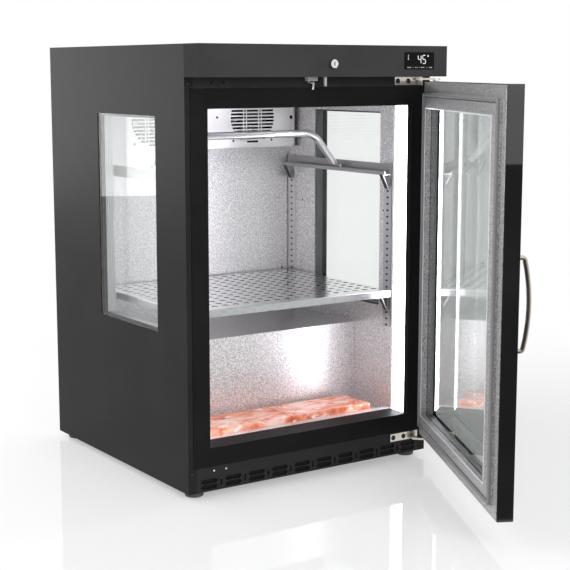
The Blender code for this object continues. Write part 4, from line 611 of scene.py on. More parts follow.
def add_block(bm, low, high):
    """Adds a box between two corners."""
    made = bmesh.ops.create_cube(bm, size=1)["verts"]
    bmesh.ops.scale(bm, vec=high - low, verts=made)
    bmesh.ops.translate(bm, vec=(low + high) / 2, verts=made)


def block(low, high):
    """A box of its own."""
    bm = bmesh.new()
    add_block(bm, low, high)
    return bm


def merged(*shapes):
    """Several shapes as one."""
    whole = bmesh.new()
    for shape in shapes:
        mesh = bpy.data.meshes.new("part")
        shape.to_mesh(mesh)
        shape.free()
        whole.from_mesh(mesh)
        bpy.data.meshes.remove(mesh)
    return whole


print("shape helpers ready")

# %% [markdown]
# Trees of geometry nodes
#
# What repeats is grown by a node tree with named inputs: the shelf's holes, the screws, the plugs and
# the feet. A tree works on an object, and the result is then read back as a plain mesh. The modifier
# is gone before the piece joins the model, because an exported file has no use for it.

# %% The grower
class Grower(Graph):
    """A geometry tree with named inputs."""

    def __init__(self, name, inputs):
        tree = bpy.data.node_groups.new(name, "GeometryNodeTree")
        tree.interface.new_socket("Geometry", in_out="OUTPUT", socket_type="NodeSocketGeometry")
        tree.interface.new_socket("Base", in_out="INPUT", socket_type="NodeSocketGeometry")
        for label, kind in inputs.items():
            tree.interface.new_socket(label, in_out="INPUT", socket_type="NodeSocket" + kind)
        super().__init__(tree)
        self.given = tree.nodes.new("NodeGroupInput")

    def take(self, label):
        """One of the tree's named inputs."""
        return Value(self, self.given.outputs[label])

    def end(self, geometry):
        """Real geometry with its material, as the tree's result."""
        real = self.node("GeometryNodeRealizeInstances", {}, {"Geometry": geometry})
        painted = self.node("GeometryNodeSetMaterial", {},
                            {"Geometry": real, "Material": self.take("Material")})
        self.node("NodeGroupOutput", {}, {"Geometry": painted})

    def grow(self, name, values, base=None):
        """Runs the tree once and returns what it makes as a bmesh."""
        carrier = bpy.data.objects.new(name, base or bpy.data.meshes.new(name))
        bpy.context.scene.collection.objects.link(carrier)
        modifier = carrier.modifiers.new("grown", "NODES")
        modifier.node_group = self.tree
        for item in self.tree.interface.items_tree:
            if item.in_out == "INPUT" and item.name in values:
                modifier[item.identifier] = values[item.name]
        evaluated = carrier.evaluated_get(bpy.context.evaluated_depsgraph_get())
        grown = bpy.data.meshes.new_from_object(evaluated)
        carrier.modifiers.remove(modifier)
        bpy.data.objects.remove(carrier)
        bm = bmesh.new()
        bm.from_mesh(grown)
        bpy.data.meshes.remove(grown)
        return bm


print("grower ready")

# %% [markdown]
# The perforated shelf
#
# The shelf is a steel sheet with rows of round holes, folded down all round. The tree draws one hole
# as a circle, puts copies on a square grid that lies a little behind the middle, fills what is
# between them and gives it the sheet's thickness. The folded lip is a ring with a rounded bend.

# %% The tree for perforated sheet
punched = Grower("perforated_sheet", {
    "Width": "Float", "Depth": "Float", "Sheet": "Float", "Columns": "Int", "Rows": "Int",
    "Pitch X": "Float", "Pitch Y": "Float", "Shift": "Vector", "Hole radius": "Float",
    "Material": "Material"})
columns, rows = punched.take("Columns"), punched.take("Rows")
grid = punched.node("GeometryNodeMeshGrid", {}, {
    "Size X": (columns - 1) * punched.take("Pitch X"), "Size Y": (rows - 1) * punched.take("Pitch Y"),
    "Vertices X": columns, "Vertices Y": rows})
seats = punched.node("GeometryNodeSetPosition", {}, {"Geometry": grid, "Offset": punched.take("Shift")})
hole = punched.node("GeometryNodeCurvePrimitiveCircle", {}, {
    "Resolution": 16, "Radius": punched.take("Hole radius")})
holes = punched.node("GeometryNodeRealizeInstances", {}, {
    "Geometry": punched.node("GeometryNodeInstanceOnPoints", {}, {"Points": seats, "Instance": hole})})
edge = punched.node("GeometryNodeCurvePrimitiveQuadrilateral", {}, {
    "Width": punched.take("Width"), "Height": punched.take("Depth")})
outlines = punched.node("GeometryNodeJoinGeometry", {}, {"Geometry": edge})
punched.plug(outlines.socket.node, "Geometry", holes)
face = punched.node("GeometryNodeFillCurve", {}, {"Curve": outlines})
down = punched.node("ShaderNodeCombineXYZ", {}, {"Z": 0 - punched.take("Sheet")})
walls = punched.node("GeometryNodeExtrudeMesh", {"mode": "FACES"}, {
    "Mesh": face, "Offset": down, "Offset Scale": 1.0, "Individual": False})
closed = punched.node("GeometryNodeJoinGeometry", {}, {"Geometry": walls})
punched.plug(closed.socket.node, "Geometry", face)
punched.end(punched.node("GeometryNodeMergeByDistance", {}, {"Geometry": closed, "Distance": 0.00001}))
print("perforated sheet", len(punched.tree.nodes), "nodes")

# %% The shelf
SHELF_BEND, SHELF_SHEET = 0.002, 0.0012
shelf_low, shelf_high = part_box("perforated_shelf")
shelf_size = shelf_high - shelf_low
bm = punched.grow("shelf_sheet", {
    "Width": shelf_size.x - 2 * SHELF_BEND, "Depth": shelf_size.y - 2 * SHELF_BEND,
    "Sheet": SHELF_SHEET, "Columns": 19, "Rows": 14, "Pitch X": 0.0256, "Pitch Y": 0.0259,
    "Shift": (0.0017, 0.0078, 0), "Hole radius": 0.0063, "Material": Finish.made["steel"].material})
middle = (shelf_low + shelf_high) / 2
bmesh.ops.translate(bm, verts=bm.verts, vec=(middle.x, middle.y, shelf_high.z))
turn = [math.radians(90 * step / 4) for step in range(5)]
outside = [(SHELF_BEND * (1 - math.sin(a)), -SHELF_BEND * (1 - math.cos(a))) for a in turn]
inner = SHELF_BEND - SHELF_SHEET
inside = [(SHELF_BEND - inner * math.sin(a), -SHELF_BEND + inner * math.cos(a)) for a in turn[::-1]]
section = outside + [(0, -shelf_size.z), (SHELF_SHEET, -shelf_size.z)] + inside
lip = ring((shelf_low.x, shelf_low.y), (shelf_high.x, shelf_high.y), section,
           lambda u, v, depth: (u, v, shelf_high.z + depth))
show("shelf_sheet", bm, "steel", "shelf", ["perforated_shelf"], look="punched_steel")
show("shelf_lip", lip, "steel", "shelf")

# %% [markdown]
# Screws
#
# Every screw has the same pan head with a cross in it. It is turned on the lathe, the cross is cut
# with a Boolean, and a tree sets a copy on every seat. A seat is a point that also says which way
# the screw looks, and a fixed seed turns each head a little differently, as real ones end up.

# %% The screw head
def cut_away(bm, tool):
    """What is left of a closed shape when another is cut from it."""
    pair = []
    for shape in (bm, tool):
        mesh = bpy.data.meshes.new("cutting")
        shape.to_mesh(mesh)
        shape.free()
        holder = bpy.data.objects.new("cutting", mesh)
        bpy.context.scene.collection.objects.link(holder)
        pair.append(holder)
    modifier = pair[0].modifiers.new("cut", "BOOLEAN")
    modifier.operation, modifier.solver, modifier.object = "DIFFERENCE", "EXACT", pair[1]
    evaluated = pair[0].evaluated_get(bpy.context.evaluated_depsgraph_get())
    result = bmesh.new()
    result.from_mesh(evaluated.to_mesh())
    evaluated.to_mesh_clear()
    for holder in pair:
        bpy.data.objects.remove(holder)
    return result


def screw_head(radius, height, cross):
    """A pan head that looks along +Z, with a cross recess."""
    profile = [(0, height), (radius * 0.55, height * 0.96), (radius * 0.86, height * 0.72),
               (radius, height * 0.3), (radius, -0.0002), (0, -0.0002)]
    head = lathe(profile, 20)
    bmesh.ops.recalc_face_normals(head, faces=head.faces)
    reach, half = radius * cross, radius * 0.16
    arm = [Vector((reach, -half, 0)), Vector((reach, half, 0)), Vector((half, half, 0))]
    turns = [Quaternion((0, 0, 1), math.radians(90 * quarter)) for quarter in range(4)]
    plus = [turn @ point for turn in turns for point in arm]
    return cut_away(head, prism([(point.x, point.y) for point in plus], height * 0.25, height * 2))


print("screw head ready")


# %% The tree for screws
screws = Grower("screws_on_seats", {"Head": "Object", "Seed": "Int", "Material": "Material"})
head = screws.node("GeometryNodeObjectInfo", {}, {"Object": screws.take("Head")}).out("Geometry")
way = screws.node("GeometryNodeInputNamedAttribute", {"data_type": "FLOAT_VECTOR"}, {"Name": "way"})
upright = screws.node("FunctionNodeAlignRotationToVector", {"axis": "Z"}, {"Vector": way})
angle = screws.node("FunctionNodeRandomValue", {"data_type": "FLOAT"}, {
    "Min_001": 0.0, "Max_001": math.pi / 2, "Seed": screws.take("Seed")})
spin = screws.node("FunctionNodeAxisAngleToRotation", {}, {"Axis": (0, 0, 1), "Angle": angle})
turned_head = screws.node("FunctionNodeRotateRotation", {"rotation_space": "LOCAL"}, {
    "Rotation": upright, "Rotate By": spin})
screws.end(screws.node("GeometryNodeInstanceOnPoints", {}, {
    "Points": screws.take("Base"), "Instance": head, "Rotation": turned_head}))
print("screws on seats", len(screws.tree.nodes), "nodes")


# %% Setting the screws
def set_screws(name, seats, head_bm, finish, body, seed, look=None):
    """Copies of a head on seats, which are pairs of place and direction."""
    head_mesh = tidied(head_bm, name + "_head")
    head_object = bpy.data.objects.new(name + "_head", head_mesh)
    bpy.context.scene.collection.objects.link(head_object)
    points = bpy.data.meshes.new(name + "_seats")
    points.from_pydata([place for place, _ in seats], [], [])
    ways = points.attributes.new("way", "FLOAT_VECTOR", "POINT")
    for item, (_, direction) in zip(ways.data, seats):
        item.vector = direction
    bm = screws.grow(name, {"Head": head_object, "Seed": seed,
                            "Material": Finish.made[finish].material}, points)
    bpy.data.objects.remove(head_object)
    return show(name, bm, finish, body, look=look)


FORWARD, BACKWARD, UPWARD, LEFTWARD = (0, -1, 0), (0, 1, 0), (0, 0, 1), (-1, 0, 0)
COVER_FACE, FAN_MIDDLES, FAN_LEVEL, FAN_BOLT = 425.0, (174, 426), 732, 52.5
hinge_seats = [(at(x, -3.0, z), FORWARD) for x in (511, 539) for z in (818.05, 51.85)]
set_screws("hinge_screws", hinge_seats, screw_head(0.0054, 0.0020, 0.62), "machine_black", "cabinet", 3)
flange_seats = [(at(x, 0, z), FORWARD) for x in (8, 592) for z in (815.3, 53.2)]
set_screws("flange_screws", flange_seats, screw_head(0.0021, 0.0010, 0.6), "machine_black", "cabinet", 5)
fan_seats = [(at(x + across, COVER_FACE, FAN_LEVEL + up), FORWARD) for x in FAN_MIDDLES
             for across in (-FAN_BOLT, FAN_BOLT) for up in (-FAN_BOLT, FAN_BOLT)]
set_screws("fan_screws", fan_seats, screw_head(0.0026, 0.0012, 0.6), "machine_black", "cabinet", 7)
back_seats = [(at(x, 585.5, z), BACKWARD) for x in (40, 300, 560) for z in (30, 330, 600, 860)]
set_screws("back_screws", back_seats, screw_head(0.0038, 0.0020, 0.6), "galvanised", "cabinet", 9)
cover_seats = [(at(x, COVER_FACE, 734), FORWARD) for x in (270, 330)]
set_screws("cover_screws", cover_seats, screw_head(0.0027, 0.0014, 0.6), "machine_black", "cabinet", 11)

# %% [markdown]
# Light strips
#
# Beside the opening stands an opal lens in a white channel. Both have one section from floor to
# ceiling, so each is an outline pulled upwards. The left strip is the right one's mirror image.

# %% Lens and channel
LENS_ENDS, CHANNEL_ENDS = (88.5, 795.3), (87.8, 796.0)
LENS = [(558.6, 13.0), (554.8, 13.0), (553.5, 13.6), (553.0, 14.9),
        (553.0, 55.1), (553.5, 56.4), (554.8, 57.0), (558.6, 57.0)]
CHANNEL = [(559.7, 12.5), (559.7, 66.0), (555.2, 66.0), (554.9, 65.7), (554.9, 57.7), (555.2, 57.4),
           (558.9, 57.4), (558.9, 12.5)]


def lengthwise(outline, low, high, mirror):
    """An outline in the cabinet's millimetres, pulled from one level to another."""
    places = [at(WIDTH - x if mirror else x, y, 0) for x, y in outline]
    return prism([(place.x, place.y) for place in places], low / 1000, high / 1000)


for side, mirror in (("left", True), ("right", False)):
    show("lamp_lens_" + side, lengthwise(LENS, *LENS_ENDS, mirror), "diffuser", "cabinet",
         ["light_strip_" + side], look="dim_diffuser" if mirror else "diffuser")
    # Painted light: the channel's bluish white stands in for the lamp's light on it.
    show("lamp_channel_" + side, lengthwise(CHANNEL, *CHANNEL_ENDS, mirror), "fin", "cabinet",
         look="bead_paint")

# %% [markdown]
# Behind the pilasters' slots
#
# The slotted strips are hollow, and it is dark inside them. A matt black band a few millimetres
# behind the slots is painted shade: it keeps the chamber's light from making them pale.

# %% Bands of painted shade in the pilasters
BAND_FRONT, BAND_BACK, BAND_HALF, BAND_ENDS = 558.2, 559.2, 9, (281, 642)
for side, mirror in (("left", True), ("right", False)):
    for place in ("front", "rear"):
        low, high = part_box(f"pilaster_{place}_{side}")
        middle = 1000 * ((low.y + high.y) / 2 - LEFT_FRONT.y)
        near, far = middle - BAND_HALF, middle + BAND_HALF
        band = [(BAND_FRONT, near), (BAND_BACK, near), (BAND_BACK, far), (BAND_FRONT, far)]
        # Painted shade: a black band stands where the pilaster's hollow is in shade.
        show(f"pilaster_band_{place}_{side}", lengthwise(band, *BAND_ENDS, mirror),
             "machine_black", "cabinet", look="seal_black")

# %% [markdown]
# Fan cover
#
# The cover keeps its solid's mesh. The punch widens its long slots by a fifth of a millimetre on
# each side and adds what the solid leaves out: the short slots between their columns, and a screw hole
# at its right end.

# %% The punch for the slots
ROWS_EACH_WAY, ROW_PITCH, SLOT_HALF, WIDER, REACH, SHORTEST = 7, 7.9, 2.3, 0.2, 59, 5.6
LONG_COLUMNS = [(-59, -26), (-15, 15), (26, 59)]
SHORT_COLUMNS = [(-22.9, -18.1), (18.1, 22.9)]
PUNCH_START, PUNCH_END = 420, 430
punch = bmesh.new()
for x in FAN_MIDDLES:
    for row in range(-ROWS_EACH_WAY, ROWS_EACH_WAY + 1):
        z, edge = FAN_LEVEL + ROW_PITCH * row, math.sqrt(REACH ** 2 - (ROW_PITCH * row) ** 2)
        slots = [(max(start, -edge), min(stop, edge)) for start, stop in LONG_COLUMNS]
        slots = [(start, stop) for start, stop in slots if stop - start > SHORTEST]
        if abs(row) < ROWS_EACH_WAY:
            slots += SHORT_COLUMNS
        for start, stop in slots:
            add_block(punch, at(x + start - WIDER, PUNCH_START, z - SLOT_HALF),
                      at(x + stop + WIDER, PUNCH_END, z + SLOT_HALF))
print("slots in the punch", len(punch.faces) // 6)

# %% Punched cover
HOLE_X, HOLE_Z, HOLE_RADIUS, HOLE_SIDES = 534.5, 731, 4.6, 12
turns = [2 * math.pi * step / HOLE_SIDES for step in range(HOLE_SIDES)]
circle = [(HOLE_X + HOLE_RADIUS * math.cos(a), HOLE_Z + HOLE_RADIUS * math.sin(a)) for a in turns]
hole_bar = bmesh.new()
add_joined(hole_bar, [[at(x, y, z) for x, z in circle] for y in (PUNCH_START, PUNCH_END)])
bmesh.ops.recalc_face_normals(hole_bar, faces=hole_bar.faces)
cover = bmesh.new()
cover.from_mesh(frame["nodes"]["evaporator_cover"].data)
cover.transform(frame["nodes"]["evaporator_cover"].matrix_world)
show("fan_cover", cut_away(cover, merged(punch, hole_bar)), "stucco_aluminium", "cabinet",
     ["evaporator_cover"], look="cover_sheet")

# %% [markdown]
# Small sheet parts
#
# A folded lip of liner sheet runs along the front of the chamber's floor and keeps the salt in. A
# black plate of painted shade sits behind the air grille's slots. Both are plain boxes.

# %% Lip, and painted shade behind the grille
lip = block(at(47.3, 57.3, 87.8), at(552.7, 79.3, 100.2))
show("floor_lip", lip, "stucco_aluminium", "cabinet")
# Painted shade: a black plate behind the grille's slots.
grille_filter = block(at(22, 2.2, 14.5), at(578, 3.0, 61.5))
show("grille_filter", grille_filter, "machine_black", "cabinet", look="seal_black")

# %% [markdown]
# Lock and switch
#
# The lock's plug stands out of the fascia in a chrome barrel with a ring face, turned on the lathe,
# and the dark of its key way is painted shade, a black block in the face. Round the barrel, the lock's
# flange is painted black as painted shade. The door switch has a bright spring blade that a closing
# door pushes.

# %% Barrel, key way and blade
LOCK_FACE = at(304, -54.6, 852.8)
barrel = lathe([(0, 0.0088), (0.0050, 0.0088), (0.0053, 0.0096), (0.0080, 0.0096), (0.0086, 0.0090),
                (0.0087, 0.0004), (0.0087, 0.0), (0, 0.0)], 40)
barrel.transform(Matrix.Translation(LOCK_FACE) @ Matrix.Rotation(math.radians(90), 4, "X"))
show("lock_barrel", barrel, "chrome", "lock_cylinder")
KEY_LOW, KEY_HIGH = Vector((-0.0009, -0.0092, -0.0036)), Vector((0.0009, -0.0086, 0.0036))
# Painted shade: a black block stands in the key way.
show("key_way", block(LOCK_FACE + KEY_LOW, LOCK_FACE + KEY_HIGH), "machine_black", "lock_cylinder",
     look="seal_black")
BLADE_TOP, BLADE_TIP = at(295.5, -4.4, 817.2), at(291.5, -6.7, 802.2)
half, thin = Vector((0.0019, 0, 0)), Vector((0, 0.0004, 0))
around = (half + thin, half - thin, -half - thin, -half + thin)
blade = bmesh.new()
add_joined(blade, [[place + side for side in around] for place in (BLADE_TOP, BLADE_TIP)])
show("switch_blade", blade, "steel", "switch_lever", look="blade_steel")

# %% [markdown]
# Feet
#
# Each foot is a stepped rubber disc on a thin stem. The solids have few sides there, so a finer
# turned one stands in for all four, set on their seats by the same tree as the screws.

# %% The four feet
feet = ["foot_front_left", "foot_front_right", "foot_rear_left", "foot_rear_right"]
foot_profile = [(0, 0.023), (0.0045, 0.023), (0.0045, 0.0127), (0.0165, 0.0127), (0.0172, 0.0122),
                (0.0172, 0.0108), (0.0186, 0.0100), (0.0190, 0.0090), (0.0190, 0.0022),
                (0.0180, 0.0008), (0.0166, 0.0), (0, 0.0)]
foot_middles = [(low + high) / 2 for low, high in (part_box(name) for name in feet)]
foot_seats = [((middle.x, middle.y, 0), UPWARD) for middle in foot_middles]
levelling_feet = set_screws("levelling_feet", foot_seats, lathe(foot_profile, 48), "rubber", "cabinet", 0)
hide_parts(*feet)

# %% [markdown]
# Hanging bar
#
# The bar is stainless tube, bent down at both ends to flat feet that sit in the rails. The piece
# follows the same path as the solid, with more sides and a finer bend, and each foot gets its nut.

# %% The bar's tube
BAR_Y, BAR_Z, BAR_RADIUS, BAR_BEND = 250, 701.7, 0.008, 0.050
FOOT_Z, FOOT_TIP, FOOT_HALF, FOOT_REACH, FOOT_MITRE = 619.8, 48.7, 1.45, 8.9, 0.66
TUBE_END, FOOT_START = 0.82, 0.74
corner, bend = Vector((126, BAR_Y, BAR_Z)), Vector((56.5, BAR_Y, FOOT_Z))
end = corner.lerp(bend, TUBE_END)
line = [end, corner, (WIDTH - corner.x, BAR_Y, BAR_Z), (WIDTH - end.x, BAR_Y, end.z)]
bar = tube(rounded_path([at(*point) for point in line], BAR_BEND, 16), BAR_RADIUS, 32)
print("bar from", tuple(end), "to", line[-1])

# %% The bar's feet and nuts
tongue = corner.lerp(bend, FOOT_START)
profile = [tongue, bend, Vector((FOOT_TIP, BAR_Y, FOOT_Z))]
lean = (bend - tongue).normalized().cross(Vector((0, -1, 0))) * FOOT_HALF
mitre = Vector((FOOT_MITRE, 0, FOOT_HALF))
offsets = [lean, mitre, Vector((0, 0, FOOT_HALF))]
above = [place + offset for place, offset in zip(profile, offsets)]
below = [place - offset for place, offset in zip(profile, offsets)]
for mirror in (False, True):
    corners = [(WIDTH - point.x if mirror else point.x, point.z) for point in above + below[::-1]]
    add_joined(bar, [[at(x, y, z) for x, z in corners] for y in (BAR_Y - FOOT_REACH, BAR_Y + FOOT_REACH)])
show("bar_tube", bar, "steel", "hanging_bar", ["hanging_bar"])
NUT_X, NUT_ASIDE = 52.8, 4.4
nut = [(0, 0.0098), (0.0028, 0.0098), (0.0038, 0.0090), (0.0038, 0.0024), (0.0041, 0.0020),
       (0.0041, 0), (0, 0)]
nut_seats = [(at(x, BAR_Y - NUT_ASIDE, FOOT_Z + FOOT_HALF), UPWARD) for x in (NUT_X, WIDTH - NUT_X)]
set_screws("bar_nuts", nut_seats, lathe(nut, 24), "steel", "hanging_bar", 0)

# %% [markdown]
# The gasket, and what holds the panes apart
#
# The gasket has a soft bulb with a groove, drawn as one section and carried round the door. The
# panes of the door and of the side windows are held apart by a ribbed spacer, which shows as fine
# lines inside the opening, and towards the outer pane by a black rubber seal. The near window's
# spacer keeps the pale metal; the far window's and the door's are painted dark grey as painted shade.

# %% Gasket
DOOR_LOW, DOOR_HIGH = (1, 54.2), (599, 817.8)


def on_door(u, v, depth):
    """A place on the shut door, by its width, height and depth."""
    return at(u, depth, v)


bulb = [(24.0, -7.9), (31.0, -7.9), (31.0, -6.8), (30.2, -6.3), (30.7, -5.4), (30.7, -3.6), (30.1, -2.5),
        (29.2, -1.95), (27.9, -1.95), (27.5, -2.7), (27.1, -1.95), (25.8, -1.95), (24.9, -2.5),
        (24.3, -3.6), (24.3, -5.4), (24.8, -6.3), (24.0, -6.8)]
show("gasket_bulb", ring(DOOR_LOW, DOOR_HIGH, bulb, on_door), "rubber", "door", ["door_gasket"],
     look="gasket_rubber")

# %% The painted highlight round the door's opening
# A painted highlight: a thin white bead along the edge of the door's opening.
bead = [(53.2, -2.6), (56.0, -2.6), (56.0, -2.0), (53.5, -2.0)]
show("door_bead", ring(DOOR_LOW, DOOR_HIGH, bead, on_door), "stucco_aluminium", "door", look="bead_paint")

# %% Spacers between the panes
def ribbed(inset, rise, start, end, count):
    """A section with ribs across a depth: the ribs stand up from its inner side."""
    pitch = (end - start) / count
    line = [(inset, start)]
    for number in range(count):
        base = start + number * pitch
        line += [(inset + rise * 0.55, base), (inset + rise, base + pitch * 0.3),
                 (inset + rise, base + pitch * 0.7)]
    line += [(inset + rise * 0.55, end), (inset, end)]
    return line


# Painted shade: the door's spacer gets the dark copy of the spacer metal.
show("door_spacer", ring(DOOR_LOW, DOOR_HIGH, ribbed(54.3, 2.6, -29.4, -19.3, 3), on_door),
     "fin", "door", look="spacer")
show("door_seal", ring(DOOR_LOW, DOOR_HIGH, ribbed(54.3, 3.2, -39.2, -29.6, 2), on_door),
     "rubber", "door", look="seal_black")
WINDOW_LOW, WINDOW_HIGH = (116.9, 323.0), (365.3, 750.7)
for side, mirror in (("left", False), ("right", True)):
    def in_wall(u, v, depth, mirror=mirror):
        """A place in a side wall, by its depth in the cabinet, its height and its depth in the wall."""
        return at(WIDTH - depth if mirror else depth, u, v)

    # Painted shade: the far window's spacer gets the dark copy, the near one the pale metal.
    show("window_spacer_" + side, ring(WINDOW_LOW, WINDOW_HIGH, ribbed(0.4, 2.8, 16.2, 34.6, 4), in_wall),
         "fin", "cabinet", look="spacer" if mirror else "fin")
    show("window_seal_" + side, ring(WINDOW_LOW, WINDOW_HIGH, ribbed(0.4, 3.4, 6.2, 16.0, 2), in_wall),
         "rubber", "cabinet", look="seal_black")

# %% [markdown]
# Bow handle
#
# The handle is a bent rod with two short legs. The arc passes through three known points, so its
# radius follows from its span and its rise. A finer tube than the solid's keeps the highlight clean.

# %% The handle
HANDLE_X, HANDLE_MIDDLE, HANDLE_HALF, ROD = 41, 435, 83, 0.0045
LEG_START, LEG_END, HANDLE_TIP, LEG_BEND = -43.8, -63.5, -73.5, 0.006
BOW_STEPS = 32
rise = LEG_END - HANDLE_TIP
bow_radius = (HANDLE_HALF ** 2 + rise ** 2) / (2 * rise)
spread = math.asin(HANDLE_HALF / bow_radius)
bow = []
for step in range(BOW_STEPS + 1):
    angle = -spread + 2 * spread * step / BOW_STEPS
    bow.append((HANDLE_X, HANDLE_TIP + bow_radius * (1 - math.cos(angle)),
                HANDLE_MIDDLE + bow_radius * math.sin(angle)))
low_leg = (HANDLE_X, LEG_START, HANDLE_MIDDLE - HANDLE_HALF)
high_leg = (HANDLE_X, LEG_START, HANDLE_MIDDLE + HANDLE_HALF)
lower_run = rounded_path([at(*point) for point in (low_leg, bow[0], bow[2])], LEG_BEND, 6)[:-1]
upper_run = rounded_path([at(*point) for point in (bow[-3], bow[-1], high_leg)], LEG_BEND, 6)[1:]
path = lower_run + [at(*point) for point in bow[2:-2]] + upper_run
show("handle_rod", tube(path, ROD, 24), "nickel", "door", ["door_handle"], look="warm_nickel")

# %% [markdown]
# Salt blocks
#
# Sawn salt is flat but not even: its edges are chipped round and its faces swell by tenths of a
# millimetre. The block is a fine grid pulled to rounded edges, and noise then moves each point along
# its own outward direction, always inwards from the solid's size.

# %% The two blocks
def rough_block(low, high, radius, cell, unevenness, seed):
    """A box with rounded edges and an uneven surface, inside the corners given."""
    bm = bmesh.new()
    span = high - low
    for axis, u, v in ((0, 1, 2), (1, 2, 0), (2, 0, 1)):
        count_u, count_v = max(2, round(span[u] / cell)), max(2, round(span[v] / cell))
        for level in (low[axis], high[axis]):
            rows = []
            for i in range(count_u + 1):
                row = []
                for j in range(count_v + 1):
                    point = [0, 0, 0]
                    point[axis] = level
                    point[u] = low[u] + span[u] * i / count_u
                    point[v] = low[v] + span[v] * j / count_v
                    row.append(bm.verts.new(point))
                rows.append(row)
            for i in range(count_u):
                for j in range(count_v):
                    bm.faces.new((rows[i][j], rows[i + 1][j], rows[i + 1][j + 1], rows[i][j + 1]))
    bmesh.ops.remove_doubles(bm, verts=bm.verts, dist=0.0001)
    for vert in bm.verts:
        chip = 0.6 + 0.8 * max(0, noise.noise(vert.co * 60 + Vector((seed, 0, 0))))
        margin = radius * chip
        core = Vector([min(max(vert.co[i], low[i] + margin), high[i] - margin) for i in range(3)])
        outward = (vert.co - core).normalized()
        coarse = abs(noise.noise(vert.co * 35 + Vector((0, seed, 0))))
        fine = abs(noise.noise(vert.co * 160 + Vector((0, seed, 9))))
        vert.co = core + outward * (margin - unevenness * min(coarse + 0.5 * fine, 1.0))
    return bm


for number, side in enumerate(("left", "right")):
    low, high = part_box("salt_block_" + side)
    sawn = rough_block(low, high, radius=0.0035, cell=0.0024, unevenness=0.0006, seed=5.0 * number + 1)
    show("salt_" + side, sawn, "salt", "cabinet", ["salt_block_" + side])

# %% [markdown]
# Display
#
# The controller's face is a dark window with two figures, a degree mark, a small gauge and four
# touch keys below. Each figure is made of the usual seven segments, as thin raised bars that glow.

# %% The display's light
lit = Finish("display_light", {"Roughness": 0.5, "Emission Strength": 1.0})
lit.clouded(300, (0.10, 0.10, 0.105), (0.13, 0.13, 0.135))
lit.clouded(300, (0.86, 0.87, 0.90), (0.92, 0.93, 0.95), "Emission Color")
dim = Finish("display_marks", {"Roughness": 0.5, "Emission Strength": 0.45})
dim.clouded(300, (0.06, 0.06, 0.065), (0.08, 0.08, 0.085))
dim.clouded(300, (0.80, 0.80, 0.84), (0.90, 0.90, 0.92), "Emission Color")
print("display finishes", lit.material.name, dim.material.name)

# %% Figures
FACE_Y, FACE_GAP, INK = -55.2, 0.01, 0.25
FIGURE_Z, FIGURE_WIDTH, FIGURE_HEIGHT, STROKE = 853.9, 7.6, 16.6, 1.5
DEGREE_X, DEGREE_Z, DEGREE_RADIUS = 547.6, 869.3, 1.7
SEGMENTS = {"4": "fgbc", "5": "afgcd"}


def add_bar(bm, x, z, width, height):
    """A flat bar on the display, by its middle."""
    add_block(bm, at(x - width / 2, FACE_Y - INK, z - height / 2),
              at(x + width / 2, FACE_Y - FACE_GAP, z + height / 2))


def add_figure(bm, figure, x, z, width, height, stroke):
    """One seven-segment figure with its lower left corner at a place."""
    half = height / 2
    spots = {
        "a": (x + width / 2, z + height, width - stroke, stroke),
        "g": (x + width / 2, z + half, width - stroke, stroke),
        "d": (x + width / 2, z, width - stroke, stroke),
        "f": (x, z + half * 1.5, stroke, half - stroke),
        "b": (x + width, z + half * 1.5, stroke, half - stroke),
        "e": (x, z + half / 2, stroke, half - stroke),
        "c": (x + width, z + half / 2, stroke, half - stroke),
    }
    for name in SEGMENTS[figure]:
        add_bar(bm, *spots[name])


figures = bmesh.new()
for figure, x in (("4", 521.5), ("5", 533.4)):
    add_figure(figures, figure, x, FIGURE_Z, FIGURE_WIDTH, FIGURE_HEIGHT, STROKE)
degree = lathe([(0, 0), (DEGREE_RADIUS, 0), (DEGREE_RADIUS, INK), (0, INK)], 16)
degree.transform(Matrix.Translation(at(DEGREE_X, FACE_Y, DEGREE_Z)) @ Matrix.Scale(0.001, 4)
                 @ Matrix.Rotation(math.radians(90), 4, "X"))
show("display_figures", merged(figures, degree), "diffuser", "cabinet", look="display_light")

# %% Gauge and keys
KEYS_Z, KEY_HEIGHT, LINE_WIDTH, LINE_HEIGHT = 845.9, 1.7, 0.5, 3.6
KEY_MARKS = [(495.2, 4.2), (500.6, 4.2), (515.2, 3.2), (520.2, 1.6), (531.6, 4.6), (536.8, 2.4),
             (552.2, 2.8), (556.6, 4.0)]
GAUGE_X, GAUGE_BARS = 495.7, [(867.4, 1.6, 8.6), (862.4, 3.0, 2.4)]
keys = bmesh.new()
for z, width, height in GAUGE_BARS:
    add_bar(keys, GAUGE_X, z, width, height)
for x, width in KEY_MARKS:
    add_bar(keys, x, KEYS_Z, width, KEY_HEIGHT)
for x in (508.0, 526.0, 544.8):
    add_bar(keys, x, KEYS_Z, LINE_WIDTH, LINE_HEIGHT)
show("display_keys", keys, "diffuser", "cabinet", look="display_marks")

# %% [markdown]
# Plugs
#
# Two white plugs close the screw holes at the left of the air grille, and three black ones are
# pressed into the chamber's back and right wall. All are small domes, set like the screws.

# %% Plugs
white = Finish("plug_white", {"Roughness": 0.35})
white.clouded(200, (0.82, 0.82, 0.82), (0.90, 0.90, 0.90))
dome = [(0, 0.0008), (0.0012, 0.0006), (0.0019, 0.0), (0, 0.0)]
plug_seats = [(at(x, -0.02, 53.7), FORWARD) for x in (58.7, 87.0)]
set_screws("grille_plugs", plug_seats, lathe(dome, 16), "diffuser", "cabinet", 0, look="plug_white")
wall_dome = [(0, 0.0010), (0.0016, 0.0008), (0.0026, 0.0), (0, 0.0)]
wall_seats = [(at(538, 470, 367.5), FORWARD)]
wall_seats += [(at(560, y, 535.6), LEFTWARD) for y in (414.5, 103.4)]
set_screws("wall_plugs", wall_seats, lathe(wall_dome, 16), "machine_black", "cabinet", 0,
           look="seal_black")

